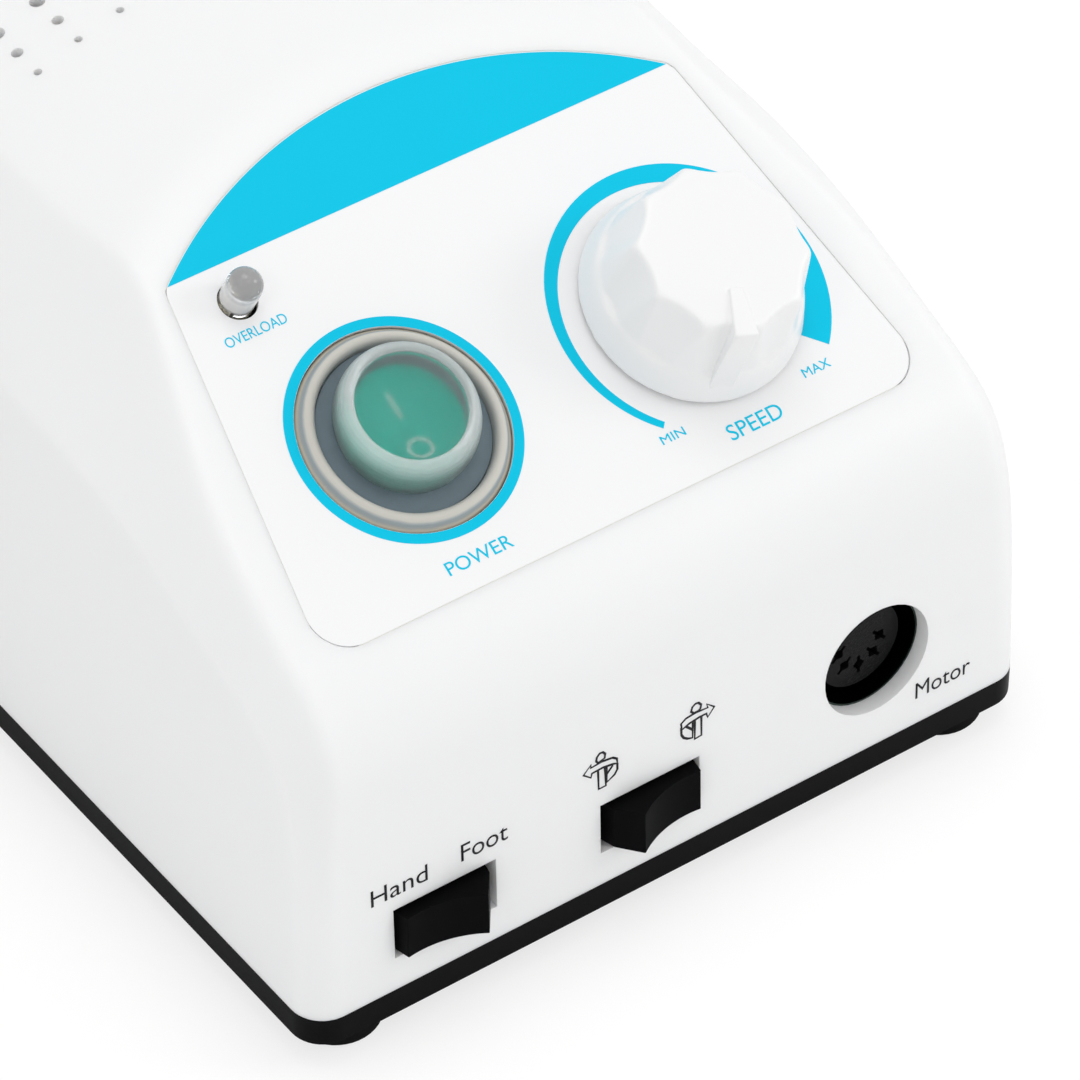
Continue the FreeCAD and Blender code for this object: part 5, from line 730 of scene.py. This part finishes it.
# A small figure turned to each side: head, arrow of its arms, body and raised arm.
drawn_mark("mark_right", (
    (True, ((2.5, 22.44), (2.07, 22.9), (2.29, 23.6), (2.8, 23.95), (3.3, 23.85), (3.75, 23.3),
            (3.63, 22.7), (3.3, 22.4))),
    (True, ((0.53, 20.5), (0.4, 21.61), (1.2, 22.15), (2.87, 22.34), (4.87, 22.15), (4.67, 22.89),
            (5.95, 21.75), (4.83, 20.47), (4.62, 21.22), (3.36, 21.2), (1.7, 20.95))),
    (False, ((2.7, 20.95), (2.66, 17.7), (3.78, 17.81), (3.78, 21.1))),
    (False, ((0.42, 21.0), (0.45, 19.62), (0.86, 18.86), (1.5, 18.4), (2.3, 18.13), (2.36, 20.9))),
    (False, ((1.2, 20.75), (2.28, 19.61)))))
drawn_mark("mark_left", (
    (True, ((-13.32, 22.11), (-13.6, 22.6), (-13.45, 23.2), (-13.0, 23.65), (-12.5, 23.6),
            (-12.1, 23.1), (-12.2, 22.4))),
    (True, ((-14.46, 22.4), (-14.5, 21.85), (-12.66, 22.02), (-10.9, 21.75), (-10.2, 21.2),
            (-10.14, 20.37), (-10.87, 20.6), (-12.51, 20.87), (-14.32, 20.79), (-14.49, 20.11),
            (-15.7, 21.19))),
    (False, ((-13.31, 20.7), (-13.25, 17.39), (-12.06, 17.4), (-12.19, 20.8))),
    (False, ((-10.14, 20.37), (-10.15, 19.3), (-10.6, 18.6), (-11.89, 17.93), (-11.9, 20.7))),
    (False, ((-10.88, 20.4), (-11.88, 19.36)))))


# Motor socket: five contacts in a black insert, deep inside a round hole of the front wall.
# The metal shell round it takes the sleeve of the plug.

gloss_black = finish("insert_black", (0.006, 0.006, 0.0065), 0.22, spread=0.12, shine=0.08)
# The dark green tint of the shell is a painted reflection, not a colour of its metal.
shell_metal_painted_reflection = finish("shell_metal_painted_reflection", (0.05, 0.07, 0.062), 0.20, spread=0.08, metal=1.0)
brass = finish("contact_brass", (0.35, 0.30, 0.20), 0.30, spread=0.08, metal=1.0)
paint_nodes(gloss_black, "motor_socket_insert")
paint_nodes(shell_metal_painted_reflection, "motor_socket_shell")
paint_nodes(brass, "motor_socket_contacts")


# Rubber feet: four black pads of soft rubber with a matt skin.
# Each is pressed and glued into a corner of the base plate.

rubber = finish("foot_rubber", (0.004, 0.004, 0.004), 0.75, spread=0.12, grain=1100.0, relief=0.04,
                shine=0.1)
feet = smooth_copy("rubber_feet", "foot_pads", "case", rubber, angle=40.0)


# Screws, nuts and other small metal parts: zinc-plated steel, nickel plate and tinned brass.
# They are bought parts, so each has the finish of its metal.

zinc = finish("zinc_steel", (0.60, 0.60, 0.62), 0.32, spread=0.07, grain=1200.0, metal=1.0)
nickel = finish("nickel_plate", (0.68, 0.66, 0.62), 0.24, spread=0.05, grain=1500.0, metal=1.0)
tin = finish("tinned_brass", (0.72, 0.70, 0.64), 0.30, spread=0.07, metal=1.0)
paint_nodes(zinc, "cover_screws", "switch_board_screws", "motor_socket_screws", "board_screws",
            "transformer_screws", "mains_inlet_screws", "mains_inlet_nuts", "transformer_frame")
paint_nodes(nickel, "potentiometer_body", "potentiometer_shaft", "potentiometer_washer", "potentiometer_nut",
            "pedal_jack_nut", "switch_pins")
paint_nodes(tin, "power_switch_terminals", "mains_inlet_pins", "fuse_holder_tags")


# Rear connectors: mains inlet, fuse holder and pedal jack in black moulded plastic.
# They sit in holes of the rear wall, the inlet on two screws and the others on nuts.

connector_black = finish("connector_black", (0.008, 0.008, 0.0085), 0.34, spread=0.10, relief=0.015,
                         shine=0.3)
paint_nodes(connector_black, "mains_inlet_body", "fuse_holder_body", "fuse_cap", "fuse_holder_nut",
            "pedal_jack_body")
glass = finish("fuse_glass", (0.92, 0.94, 0.94), 0.06, spread=0.01)
glass.node_tree.nodes["Principled BSDF"].inputs["Transmission Weight"].default_value = 0.9
paint_nodes(glass, "glass_fuse")


# Control board and its parts: green laminate, finned aluminium, black cases and white plugs.
# The parts are soldered to the board, which is screwed to posts of the base plate.

board_green = finish("board_green", (0.012, 0.11, 0.045), 0.35, spread=0.25, grain=700.0, relief=0.02,
                     patch=220.0)
alloy = finish("drawn_alloy", (0.66, 0.67, 0.68), 0.34, spread=0.06, grain=500.0, metal=1.0)
can_blue = finish("can_sleeve", (0.012, 0.016, 0.07), 0.30, spread=0.10)
nylon = finish("white_nylon", (0.78, 0.76, 0.70), 0.50, spread=0.03)
paint_nodes(board_green, "control_board", "switch_board")
paint_nodes(alloy, "heat_sink")
paint_nodes(connector_black, "power_transistors", "bridge_rectifier", "relay")
paint_nodes(can_blue, "filter_capacitors")
paint_nodes(nylon, "board_connectors", "transformer_bobbin")


# Transformer: stacked steel sheets, a taped copper winding and a nylon bobbin in a steel frame.
# The frame holds the stack together and is screwed to the base plate.

lamination = finish("core_steel", (0.20, 0.20, 0.21), 0.45, spread=0.25, grain=420.0, relief=0.06,
                    metal=0.8)
tape = finish("winding_tape", (0.78, 0.52, 0.05), 0.40, spread=0.08, grain=300.0, relief=0.04)
paint_nodes(lamination, "transformer_core")
paint_nodes(tape, "transformer_winding")


# Inner wires: stranded copper in coloured sleeves of soft plastic.
# They run from the board to the inlet, the transformer, the panel and the socket.

for tint, colour, spread, leads in (
        ("brown", (0.12, 0.045, 0.02), 0.10, "mains_leads"),
        ("red", (0.42, 0.02, 0.015), 0.10, "transformer_leads"),
        ("white", (0.72, 0.72, 0.70), 0.05, "panel_leads"),
        ("black", (0.02, 0.02, 0.02), 0.10, "motor_leads"),
        ("blue", (0.02, 0.06, 0.30), 0.10, "switch_leads")):
    paint_nodes(finish("sleeve_" + tint, colour, 0.42, spread=spread), leads)


# Colours come out as they are written.

bpy.context.scene.view_settings.view_transform = "Standard"
